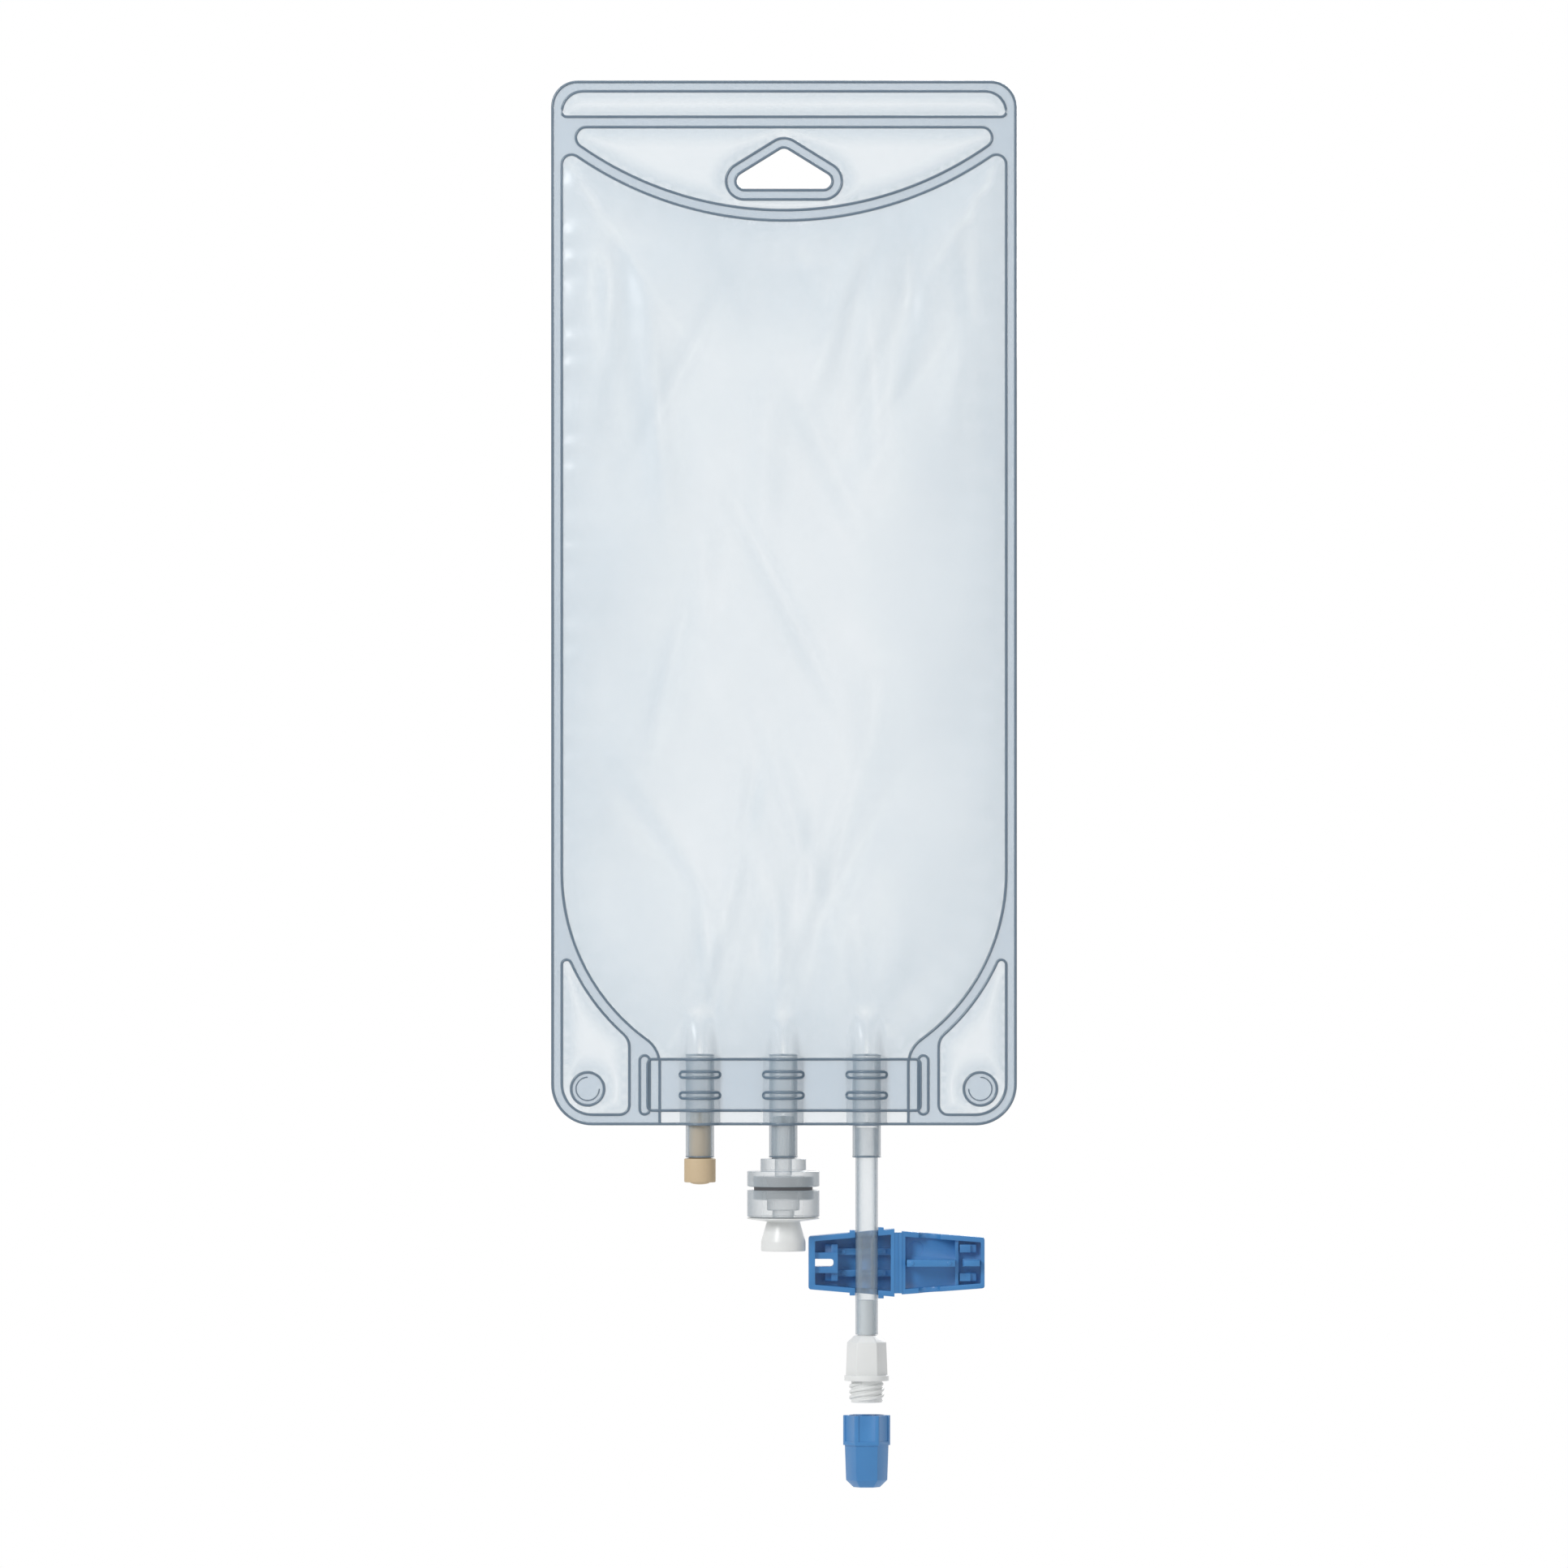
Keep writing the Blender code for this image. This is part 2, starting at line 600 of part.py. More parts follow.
def film_height(x, z):
    # How far a film's inner side stands off the plane where the films are welded.
    side = abs(x)
    if inside(x, z, HEADER):
        return puff(HEADER_PUFF, HEADER_HEIGHT / 2, distance(x, z, HEADER))
    if inside(x, z, CRESCENT) and not inside(x, z, HOLE_RING):
        away = min(distance(x, z, CRESCENT), distance(x, z, HOLE_RING))
        return puff(CRESCENT_PUFF, CRESCENT_RISE, away)
    ring = math.hypot(side - EYELET[0], z - EYELET[1]) - EYELET_RING
    if ring > 0 and inside(side, z, POCKET):
        return puff(POCKET_PUFF, POCKET_RISE, min(distance(side, z, POCKET), ring))
    belly = 0.0
    if inside(x, z, CHAMBER):
        belly = BELLY * puff(1.0, BELLY_RISE, distance(x, z, CHAMBER)) ** BELLY_FULLNESS
    fade = min(max((z - PORT_TOP - GAP) / WRAP_FADE, 0.0), 1.0)
    wrap = max(wrap_height(x - port) for port in PORT_XS) * (1 + math.cos(math.pi * fade)) / 2
    return (belly ** 3 + wrap ** 3) ** (1 / 3)


def film_relief(x, z):
    # Extra thickness on the film's outer side, at the sealing beads and end welds.
    hair = 0.01 * MM
    on_wrap = any(abs(x - port) < WRAP_HALF_WIDTH - hair for port in PORT_XS)
    for drop in BEAD_DROPS:
        under = BAR_TOP - drop - z
        if on_wrap and RELIEF_EDGE - hair < under < BEAD_HEIGHT - RELIEF_EDGE + hair:
            return BEAD_RELIEF
    half = (STADIUM_HEIGHT - STADIUM_WIDTH) / 2
    beyond = max(abs(z - (BAR_TOP + BAR_BOTTOM) / 2) - half, 0)
    if math.hypot(abs(x) - STADIUM_X, beyond) < STADIUM_WIDTH / 2 - RELIEF_EDGE + hair:
        return STADIUM_RELIEF
    return 0.0


def wrap_rows():
    # Heights at which the film over the port tubes is sampled, from the edge upwards.
    rows = [BAG_BOTTOM, BAR_BOTTOM]
    for drop in reversed(BEAD_DROPS):
        low, high = BAR_TOP - drop - BEAD_HEIGHT, BAR_TOP - drop
        rows += [low, low + RELIEF_EDGE, high - RELIEF_EDGE, high]
    rows += [BAR_TOP, PORT_TOP + GAP]
    return rows + [PORT_TOP + GAP + WRAP_FADE * share for share in FADE_SHARES]


def film_plan():
    # Points and edges of the film seen from the front.
    points, edges = [], []

    def loop(outline):
        first = len(points)
        points.extend(outline)
        edges.extend((first + k, first + (k + 1) % len(outline)) for k in range(len(outline)))

    for outline in (divided(EDGE_LINE, EDGE_STRETCH), HEADER, CRESCENT, HOLE_RING, HOLE):
        loop(outline)
    loop(divided(CHAMBER, CHAMBER_STRETCH))
    for side in (-1, 1):
        ring = arc(EYELET, EYELET_RING, 0, 360, 16)[:-1]
        for outline in (POCKET, ring, SLIT, stadium(0), stadium(RELIEF_EDGE)):
            loop(flipped(outline, side))
    bend = math.asin(WRAP_TANGENT / WRAP_ARC)
    half = [WRAP_ARC * math.sin(bend / 2), WRAP_TANGENT, WRAP_HALF_WIDTH]
    columns = [-x for x in reversed(half)] + [0] + half
    rows = wrap_rows()
    for port in PORT_XS:
        first = len(points)
        points.extend((port + x, z) for z in rows for x in columns)
        for r in range(len(rows)):
            for c in range(len(columns)):
                at = first + r * len(columns) + c
                if c + 1 < len(columns):
                    edges.append((at, at + 1))
                if r + 1 < len(rows):
                    edges.append((at, at + len(columns)))

    def clear(x, z, near):
        return all(math.hypot(x - px, z - pz) > near for px, pz in points)

    def scatter(outline, grid, keep):
        # Points on a staggered grid inside an outline, clear of it and of the points so far.
        step, near = grid
        row = step * math.sin(math.radians(60))
        xs, zs = [x for x, _ in outline], [z for _, z in outline]
        for r in range(int((max(zs) - min(zs)) / row) + 1):
            for c in range(int((max(xs) - min(xs)) / step) + 2):
                x, z = min(xs) + (c - 0.5 * (r % 2)) * step, min(zs) + (r + 0.5) * row
                within = inside(x, z, outline) and distance(x, z, outline) > near
                if within and clear(x, z, near) and keep(x, z):
                    points.append((x, z))

    def rim_row(outline, depth, spacing):
        # Points that follow an outline at a depth inside it.
        line = divided(outline, spacing)
        for k, (bx, bz) in enumerate(line):
            ax, az = line[k - 1]
            length = math.hypot(bx - ax, bz - az)
            for sign in (-1, 1):
                x = (ax + bx) / 2 + sign * depth * (bz - az) / length
                z = (az + bz) / 2 - sign * depth * (bx - ax) / length
                within = inside(x, z, outline) and distance(x, z, outline) > 0.9 * depth
                if within and clear(x, z, 0.8 * depth):
                    points.append((x, z))

    def off_hole(x, z):
        return not inside(x, z, HOLE_RING)

    def off_eyelet(x, z):
        return math.hypot(abs(x) - EYELET[0], z - EYELET[1]) > EYELET_RING + EYELET_CLEAR

    for depth, spacing in RIM_ROWS:
        rim_row(CHAMBER, depth, spacing)
    scatter(CHAMBER, BELLY_GRID, off_hole)
    scatter(CRESCENT, CRESCENT_GRID, off_hole)
    scatter(HEADER, HEADER_GRID, off_hole)
    for side in (-1, 1):
        scatter(flipped(POCKET, side), POCKET_GRID, off_eyelet)
    return points, edges


def film(name, side, material):
    # One film: side is -1 for the front and +1 for the back.
    points, edges = film_plan()
    plan = delaunay_2d_cdt([Vector(p) for p in points], edges, [], 0, 0.00001)
    holes = [HOLE, SLIT, flipped(SLIT, -1)]

    def kept(corners):
        x, z = sum(c[0] for c in corners) / 3, sum(c[1] for c in corners) / 3
        return inside(x, z, EDGE_LINE) and not any(inside(x, z, hole) for hole in holes)

    def build(bm):
        verts = [bm.verts.new((x, side * film_height(x, z), z)) for x, z in plan[0]]
        for face in plan[2]:
            if kept([plan[0][k] for k in face]):
                bm.faces.new([verts[k] for k in face])
        bmesh.ops.delete(bm, geom=[v for v in bm.verts if not v.link_faces], context="VERTS")
        made = bmesh.ops.extrude_face_region(bm, geom=bm.faces[:])["geom"]
        for v in made:
            if isinstance(v, bmesh.types.BMVert):
                v.co.y += side * (FILM + film_relief(v.co.x, v.co.z))

    return add_object(name, mesh_from(name, build), material)


# Ports and their fittings

def port_tube(name, x, material):
    profile = [
        (PORT_RADIUS, PORT_TOP), (PORT_RADIUS, PORT_LOW), (PORT_BORE, PORT_LOW), (PORT_BORE, PORT_TOP),
    ]
    return turned(name, profile, material, (x, 0, 0), TUBE_STEPS, closed=True)


def injection_stopper(material):
    top = SEAT_Z + STOPPER_STEM
    head_low = SEAT_Z - STOPPER_HEAD
    shoulder = (DOME_SHOULDER[0] * STOPPER_DOME_RADIUS, head_low - DOME_SHOULDER[1] * STOPPER_DOME)
    profile = [
        (0, top), (STOPPER_TIP_RADIUS, top),
        (INSERT_RADIUS - STOPPER_TAPER, top - STOPPER_CHAMFER), (INSERT_RADIUS, SEAT_Z),
        (STOPPER_HEAD_RADIUS - EDGE, SEAT_Z), (STOPPER_HEAD_RADIUS, SEAT_Z - EDGE),
        (STOPPER_HEAD_RADIUS, head_low + EDGE), (STOPPER_HEAD_RADIUS - EDGE, head_low),
        (STOPPER_DOME_RADIUS, head_low), shoulder, (0, head_low - STOPPER_DOME),
    ]
    return turned("injection_stopper", profile, material, (PORT_XS[0], 0, 0), TUBE_STEPS)


def infusion_housing(material):
    top = PORT_LOW + SPIGOT_LENGTH
    roof = HOUSING_TOP - HOUSING_ROOF
    profile = [
        (INSERT_RADIUS, top), (INSERT_RADIUS, SEAT_Z), (FLANGE_RADIUS, SEAT_Z),
        (FLANGE_RADIUS, HOUSING_TOP), (HOUSING_RADIUS - EDGE, HOUSING_TOP),
        (HOUSING_RADIUS, HOUSING_TOP - EDGE), (HOUSING_RADIUS, HOUSING_LOW), (SEPTUM_SEAT, HOUSING_LOW),
        (SEPTUM_SEAT, roof), (SPIGOT_BORE, roof), (SPIGOT_BORE, top),
    ]
    return turned("infusion_port_housing", profile, material, (PORT_XS[1], 0, 0), closed=True)


def septum(material):
    profile = [
        (0, SEPTUM_TOP), (SEPTUM_RADIUS, SEPTUM_TOP), (SEPTUM_RADIUS, SEPTUM_LOW), (0, SEPTUM_LOW),
    ]
    return turned("septum", profile, material, (PORT_XS[1], 0, 0))


def septum_retainer(material):
    ledge = SEPTUM_LOW - GAP
    floor = RETAINER_LOW + RETAINER_FLOOR
    profile = [
        (HOUSING_RADIUS, RETAINER_TOP), (HOUSING_RADIUS, RETAINER_LOW + EDGE),
        (HOUSING_RADIUS - EDGE, RETAINER_LOW), (SPIKE_HOLE, RETAINER_LOW), (SPIKE_HOLE, floor),
        (RETAINER_BORE, floor), (RETAINER_BORE, ledge), (SEPTUM_SEAT, ledge), (SEPTUM_SEAT, RETAINER_TOP),
    ]
    return turned("septum_retainer", profile, material, (PORT_XS[1], 0, 0), closed=True)


def pull_off_cap(material):
    top = RETAINER_LOW - GAP
    neck = top - MEMBRANE_EDGE - MEMBRANE_CONE
    rim = neck - KNOB_FLARE
    profile = [
        (0, top), (HOUSING_RADIUS, top), (HOUSING_RADIUS, top - MEMBRANE_EDGE),
        (MEMBRANE_INNER, neck), (KNOB_TOP_RADIUS, neck), (KNOB_RADIUS, rim),
        (KNOB_RADIUS, rim - KNOB_RIM + EDGE), (KNOB_RADIUS - EDGE, rim - KNOB_RIM), (0, rim - KNOB_RIM),
    ]
    return turned("pull_off_cap", profile, material, (PORT_XS[1], 0, 0))


def filling_tube(material):
    # A straight hanging tube along its route's points, open at both ends.
    top = PORT_LOW + TUBE_INSERT
    count = math.ceil((top - TUBE_LOW) / (TUBE_STATION * 2 * INSERT_RADIUS))
    curve = bpy.data.curves.new("filling_tube", "CURVE")
    curve.dimensions = "3D"
    curve.bevel_depth = INSERT_RADIUS
    curve.bevel_resolution = (TUBE_SIDES - 4) // 2
    curve.use_fill_caps = False
    spline = curve.splines.new("POLY")
    spline.points.add(count)
    for k, point in enumerate(spline.points):
        point.co = (PORT_XS[2], 0, top + (TUBE_LOW - top) * k / count, 1)
    shape = bpy.data.objects.new("filling_tube", curve)
    parts.objects.link(shape)
    tube = add_object("filling_tube", curve_mesh(shape, Matrix()), material)
    wall = tube.modifiers.new("wall", "SOLIDIFY")
    wall.thickness = TUBE_WALL
    wall.offset = -1
    wall.use_even_offset = True
    return tube


# Clamp halves. Each is modelled about the fold axis, with y = 0 at the rims, the floor
# behind at +y, and x growing away from the fold on the half's own side.

def half_outline(near, far, half_height, taper, side, wall=0.0, corner=CLAMP_CORNER):
    near_half = half_height - taper * near - wall
    far_half = half_height - taper * far - wall
    top = arc((far - corner, far_half - corner), corner, 90, 0, 3)
    right = [(near, near_half)] + top
    return flipped(right + [(x, -z) for x, z in reversed(right)], side)


def side_block(name, side, xs, zs, ys):
    x_low, x_high = sorted(side * x for x in xs)
    return block(name, (x_low, min(ys), min(zs)), (x_high, max(ys), max(zs)), HINGE)


def clamp_shell(name, side, length, half_height, taper, end_wall, depth, rim, material):
    outer = half_outline(HINGE_WALL, length, half_height, taper, side)
    inner = half_outline(
        2 * HINGE_WALL, length - end_wall, half_height, taper, side, SIDE_WALL, TRAY_CORNER
    )
    shell = slab(name, outer, rim, depth + CLAMP_FLOOR, material, HINGE)
    combine(shell, slab(name + "_tray", inner, rim - OVERRUN, depth, None, HINGE), "DIFFERENCE")
    web_half = LID_HALF_HEIGHT - WEB_MARGIN
    web = side_block(
        name + "_web", side, (GAP / 2, HINGE_WALL + SUNK), (-web_half, web_half),
        (GAP / 2, GAP / 2 + WEB_THICKNESS),
    )
    combine(shell, web, "UNION")
    return shell


def tube_notches(shell, name, side, y):
    # The two walls are cut to clip round the tube.
    x = side * FOLD_FROM_TUBE
    for end in (-1, 1):
        inner = end * (LID_HALF_HEIGHT - LID_TAPER * FOLD_FROM_TUBE - SIDE_WALL - 2 * OVERRUN)
        outer = end * (BASE_HALF_HEIGHT + LUG_STAND + OVERRUN)
        notch = rod(
            f"{name}_notch_{end}", (x, y, inner), (x, y, outer), NOTCH_RADIUS, TUBE_STEPS, HINGE
        )
        combine(shell, notch, "DIFFERENCE")


def pips(shell, name, side, places, heights, y):
    # Round ejector pads on the ribs.
    for k, x in enumerate(places):
        for height in heights:
            pad = rod(
                f"{name}_pip_{k}_{round(height / MM)}", (side * x, y - PIP_HEIGHT, height),
                (side * x, y + SUNK, height), PIP_RADIUS, PIP_STEPS, HINGE,
            )
            combine(shell, pad, "UNION")


def catches(shell, name, side, steps, floor):
    # Stepped latch blocks beside the middle strip.
    for end in (-1, 1):
        zs = (end * CHANNEL_HALF, end * (CHANNEL_HALF + CATCH_HEIGHT))
        for k, (start, stop, top) in enumerate(steps):
            piece = side_block(
                f"{name}_catch_{end}_{k}", side, (STEP_AT + start, STEP_AT + stop), zs,
                (top, floor + SUNK),
            )
            combine(shell, piece, "UNION")


def clamp_base(material):
    name, side = "clamp_base", -1
    inner_end = BASE_LENGTH - BASE_END_WALL
    base = clamp_shell(
        name, side, BASE_LENGTH, BASE_HALF_HEIGHT, BASE_TAPER, BASE_END_WALL, BASE_DEPTH, 0.0,
        material,
    )
    for end in (-1, 1):
        lug_xs = (
            (FOLD_FROM_TUBE - NOTCH_RADIUS - LUG_WIDTH, FOLD_FROM_TUBE - NOTCH_RADIUS + SUNK),
            (FOLD_FROM_TUBE + NOTCH_RADIUS - SUNK, FOLD_FROM_TUBE + NOTCH_RADIUS + LUG_WIDTH),
        )
        for k, xs in enumerate(lug_xs):
            wall = BASE_HALF_HEIGHT - BASE_TAPER * xs[k]
            zs = (end * (wall - SIDE_WALL + SUNK), end * (wall + LUG_STAND))
            combine(base, side_block(f"lug_{end}_{k}", side, xs, zs, (0.0, LUG_DEPTH)), "UNION")
        z = end * RIB_OFFSET
        rib = side_block(
            f"base_rib_{end}", side, (2 * HINGE_WALL - SUNK, STEP_AT + SUNK),
            (z - RIB_WIDTH / 2, z + RIB_WIDTH / 2), (RIB_TOP, BASE_DEPTH + SUNK),
        )
        combine(base, rib, "UNION")
    ledge = half_outline(
        STEP_AT, inner_end + SUNK, BASE_HALF_HEIGHT, BASE_TAPER, side, SIDE_WALL - SUNK, TRAY_CORNER
    )
    ledge = slab("ledge", ledge, BASE_DEPTH - STEP_RISE, BASE_DEPTH + SUNK, None, HINGE)
    combine(base, ledge, "UNION")
    channel = side_block(
        "channel", side, (STEP_AT, inner_end + SUNK), (-CHANNEL_HALF, CHANNEL_HALF),
        (CHANNEL_TOP, BASE_DEPTH),
    )
    combine(base, channel, "UNION")
    catches(base, name, side, BASE_CATCH_STEPS, BASE_DEPTH - STEP_RISE)
    pips(base, name, side, BASE_PIPS, (-RIB_OFFSET, RIB_OFFSET), RIB_TOP)
    tube_notches(base, name, side, RIM_FRONT)
    window = arc((WINDOW_START + WINDOW_CORNER, WINDOW_HALF - WINDOW_CORNER), WINDOW_CORNER, 180, 90, 3)
    window += [(inner_end, WINDOW_HALF)]
    window = flipped(window + [(x, -z) for x, z in reversed(window)], side)
    behind = BASE_DEPTH + CLAMP_FLOOR + OVERRUN
    cut = slab("latch_window", window, CHANNEL_TOP - OVERRUN, behind, None, HINGE)
    combine(base, cut, "DIFFERENCE")
    return base


def clamp_lid(material):
    name, side = "clamp_lid", 1
    inner_end = LID_LENGTH - LID_END_WALL
    lid = clamp_shell(
        name, side, LID_LENGTH, LID_HALF_HEIGHT, LID_TAPER, LID_END_WALL, LID_DEPTH, GAP, material
    )
    rib = side_block(
        "lid_rib", side, (LID_RIB_START, LID_RIB_END), (-RIB_WIDTH / 2, RIB_WIDTH / 2),
        (LID_RIB_TIP, LID_DEPTH + SUNK),
    )
    combine(lid, rib, "UNION")
    cross = half_outline(
        LID_RIB_END, LID_RIB_END + LID_CROSS_WALL, LID_HALF_HEIGHT, LID_TAPER, side,
        SIDE_WALL - SUNK, TRAY_CORNER,
    )
    cross = slab("lid_cross_wall", cross, GAP + LID_CROSS_DROP, LID_DEPTH + SUNK, None, HINGE)
    combine(lid, cross, "UNION")
    catches(lid, name, side, LID_CATCH_STEPS, LID_DEPTH)
    seat = side_block(
        "tongue_seat", side, (WINDOW_START, inner_end + SUNK), (-WINDOW_HALF, WINDOW_HALF),
        (GAP + LID_CROSS_DROP, LID_DEPTH + SUNK),
    )
    combine(lid, seat, "UNION")
    tongue = side_block(
        "tongue", side, (WINDOW_START + GAP, inner_end - GAP), (GAP - WINDOW_HALF, WINDOW_HALF - GAP),
        (-TONGUE_TIP, LID_DEPTH + SUNK),
    )
    combine(lid, tongue, "UNION")
    pips(lid, name, side, LID_PIPS, (0.0,), LID_RIB_TIP)
    gate_x, gate_z = GATE_PLACE
    gate = rod(
        "gate_mark", (gate_x, LID_DEPTH + GATE_DEPTH, gate_z), (gate_x, LID_DEPTH - OVERRUN, gate_z),
        GATE_RADIUS, BORE_STEPS, HINGE,
    )
    combine(lid, gate, "DIFFERENCE")
    tube_notches(lid, name, side, -RIM_FRONT)
    return lid


# Connector and cap

def filling_connector(material):
    barb_top = TUBE_LOW + BARB_LENGTH
    core = BARB_RADIUS - BARB_LIP
    step = (BARB_LENGTH - BARB_ROOT) / BARB_LIPS
    profile = [(0, barb_top)]
    for k in range(BARB_LIPS):
        tip = barb_top - k * step
        low = tip - BARB_RAMP * step
        profile += [(core - BARB_NOSE, tip), (BARB_RADIUS, low), (core, low)]
    profile += [
        (core, COLLAR_TOP), (COLLAR_RADIUS - EDGE, COLLAR_TOP),
        (COLLAR_RADIUS, COLLAR_TOP - EDGE), (COLLAR_RADIUS, THREAD_TOP + EDGE),
        (COLLAR_RADIUS - EDGE, THREAD_TOP), (THREAD_RADIUS, THREAD_TOP),
        (THREAD_RADIUS, CONNECTOR_LOW + EDGE), (THREAD_RADIUS - EDGE, CONNECTOR_LOW),
        (0, CONNECTOR_LOW),
    ]
    at = (PORT_XS[2], 0, 0)
    body = turned("filling_connector", profile, material, at)
    grip = [(COLLAR_TOP - EDGE, HEX_BOTTOM), (HEX_Z - HEX_CHAMFER, HEX_TOP), (HEX_Z, HEX_NECK)]
    combine(body, hexagon("connector_grip", grip, None, at), "UNION")
    socket_top = CONNECTOR_LOW + SOCKET_DEPTH
    bore = [
        (0, barb_top + OVERRUN), (CONNECTOR_BORE, barb_top + OVERRUN), (CONNECTOR_BORE, socket_top),
        (SOCKET_RADIUS - SOCKET_TAPER, socket_top), (SOCKET_RADIUS, CONNECTOR_LOW),
        (SOCKET_RADIUS, CONNECTOR_LOW - OVERRUN), (0, CONNECTOR_LOW - OVERRUN),
    ]
    combine(body, turned("connector_bore", bore, None, at, BORE_STEPS), "DIFFERENCE")
    return body


def connector_cap(material):
    # Its origin is at its mouth, on the line along which it goes on and off.
    end = CAP_TOP - SKIRT_HEIGHT - CAP_BODY_HEIGHT - CAP_END_CHAMFER
    sections = [
        (end, CAP_END), (end + CAP_END_CHAMFER, CAP_BODY_BOTTOM), (SKIRT_LOW, CAP_BODY_TOP),
        (SKIRT_LOW, CAP_SKIRT), (CAP_TOP, CAP_SKIRT),
    ]
    at = (PORT_XS[2], 0, CAP_TOP)
    cap = hexagon("connector_cap", [(z - CAP_TOP, r) for z, r in sections], material, at)
    hollow = [
        (0, OVERRUN), (CAP_BORE, OVERRUN), (CAP_BORE, -CAP_BORE_DEPTH + EDGE),
        (CAP_BORE - EDGE, -CAP_BORE_DEPTH), (0, -CAP_BORE_DEPTH),
    ]
    combine(cap, turned("cap_bore", hollow, None, at), "DIFFERENCE")
    flat = CAP_SKIRT * math.cos(math.radians(30))
    low = SKIRT_LEDGE - SKIRT_HEIGHT
    for k in range(6):
        panel = block(
            f"cap_panel_{k}", (flat - PANEL_DEPTH, -PANEL_HALF, low),
            (flat + OVERRUN, PANEL_HALF, OVERRUN), at,
        )
        panel.rotation_euler.z = math.radians(30 + 60 * k)
        combine(cap, panel, "DIFFERENCE")
    return cap


clear_film = finish("clear_film", (0.86, 0.91, 0.94), 0.22, 0.45)
clear_tube = finish("clear_tube", (0.84, 0.90, 0.94), 0.15, 0.55)
white_moulding = finish("white_moulding", (0.86, 0.87, 0.86), 0.35)
frosted_moulding = finish("frosted_moulding", (0.84, 0.89, 0.92), 0.30, 0.60)
blue_moulding = finish("blue_moulding", (0.16, 0.42, 0.70), 0.35)
grey_rubber = finish("grey_rubber", (0.47, 0.46, 0.45), 0.70)
natural_rubber = finish("natural_rubber", (0.78, 0.70, 0.56), 0.65)

film("front_film", -1, clear_film)
film("back_film", 1, clear_film)
port_names = ("injection_port_tube", "infusion_port_tube", "filling_port_tube")
for port_name, port_x in zip(port_names, PORT_XS):
    port_tube(port_name, port_x, clear_tube)
injection_stopper(natural_rubber)
infusion_housing(frosted_moulding)
septum(grey_rubber)
septum_retainer(frosted_moulding)
pull_off_cap(white_moulding)
filling_tube(clear_tube)
clamp_base(blue_moulding)
clamp_lid(blue_moulding)
filling_connector(white_moulding)
connector_cap(blue_moulding)
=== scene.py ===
# Looks of an empty clear fluid bag that hangs from its hook: films, welds, ports, tube and clamp.
# Everything is in metres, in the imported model's own frame: +Z up, front film towards -Y.
import json
import math
import random

import bmesh
import bpy
import numpy as np
from mathutils import Euler, Matrix, Vector
from mathutils.geometry import delaunay_2d_cdt
from mathutils.kdtree import KDTree


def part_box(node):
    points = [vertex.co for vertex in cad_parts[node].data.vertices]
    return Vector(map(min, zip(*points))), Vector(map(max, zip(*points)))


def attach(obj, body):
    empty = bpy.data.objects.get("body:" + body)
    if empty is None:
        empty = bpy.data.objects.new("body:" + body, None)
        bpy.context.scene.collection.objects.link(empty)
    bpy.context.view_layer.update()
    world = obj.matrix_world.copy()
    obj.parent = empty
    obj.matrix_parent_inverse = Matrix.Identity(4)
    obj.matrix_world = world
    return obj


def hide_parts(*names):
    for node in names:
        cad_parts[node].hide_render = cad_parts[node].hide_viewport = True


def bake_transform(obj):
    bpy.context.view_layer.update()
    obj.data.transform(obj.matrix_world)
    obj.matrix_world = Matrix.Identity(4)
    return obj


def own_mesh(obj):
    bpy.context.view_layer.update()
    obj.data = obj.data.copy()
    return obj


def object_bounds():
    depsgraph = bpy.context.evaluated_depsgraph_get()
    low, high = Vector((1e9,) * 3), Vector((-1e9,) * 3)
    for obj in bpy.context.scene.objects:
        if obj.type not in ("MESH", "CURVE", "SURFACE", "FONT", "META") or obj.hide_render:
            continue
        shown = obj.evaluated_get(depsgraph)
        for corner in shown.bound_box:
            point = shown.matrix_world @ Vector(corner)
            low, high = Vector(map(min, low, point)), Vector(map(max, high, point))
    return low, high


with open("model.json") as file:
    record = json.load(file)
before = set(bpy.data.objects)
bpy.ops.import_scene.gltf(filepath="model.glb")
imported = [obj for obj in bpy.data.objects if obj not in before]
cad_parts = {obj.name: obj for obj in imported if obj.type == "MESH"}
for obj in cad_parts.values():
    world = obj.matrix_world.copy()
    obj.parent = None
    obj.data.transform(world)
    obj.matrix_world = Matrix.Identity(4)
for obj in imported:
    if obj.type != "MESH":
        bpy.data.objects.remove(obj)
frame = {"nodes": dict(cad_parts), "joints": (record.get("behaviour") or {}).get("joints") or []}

cadLow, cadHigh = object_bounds()  # the CAD box, before anything is dressed
mm = 0.001
scene = bpy.context.scene


def inMetres(plain=None, **lengths):
    # A dictionary of lengths, which are written in millimetres, after its plain values.
    return {**(plain or {}), **{name: length * mm for name, length in lengths.items()}}


# Places read from the frame

filmLow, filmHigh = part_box("front_film")
bagTop, bagBottom, halfWidth = filmHigh.z, filmLow.z, filmHigh.x
portNames = ("injection_port_tube", "infusion_port_tube", "filling_port_tube")
portXs = [sum(c.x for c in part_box(name)) / 2 for name in portNames]
portLow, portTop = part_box(portNames[0])[0].z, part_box(portNames[0])[1].z
portRadius = (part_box(portNames[0])[1].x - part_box(portNames[0])[0].x) / 2
gap = 0.3 * mm  # clearance between pieces that seat on each other


# Materials

class Wire:
    # A socket that takes arithmetic, each sign adding a Math node.
    def __init__(self, tree, socket):
        self.tree, self.socket = tree, socket

    def maths(self, operation, first, second):
        return addNode(self.tree, "ShaderNodeMath", {"operation": operation}, {0: first, 1: second})

    def __add__(self, other):
        return self.maths("ADD", self, other)
    __radd__ = __add__

    def __sub__(self, other):
        return self.maths("SUBTRACT", self, other)

    def __rsub__(self, other):
        return self.maths("SUBTRACT", other, self)

    def __mul__(self, other):
        return self.maths("MULTIPLY", self, other)
    __rmul__ = __mul__

    def __pow__(self, other):
        return self.maths("POWER", self, other)


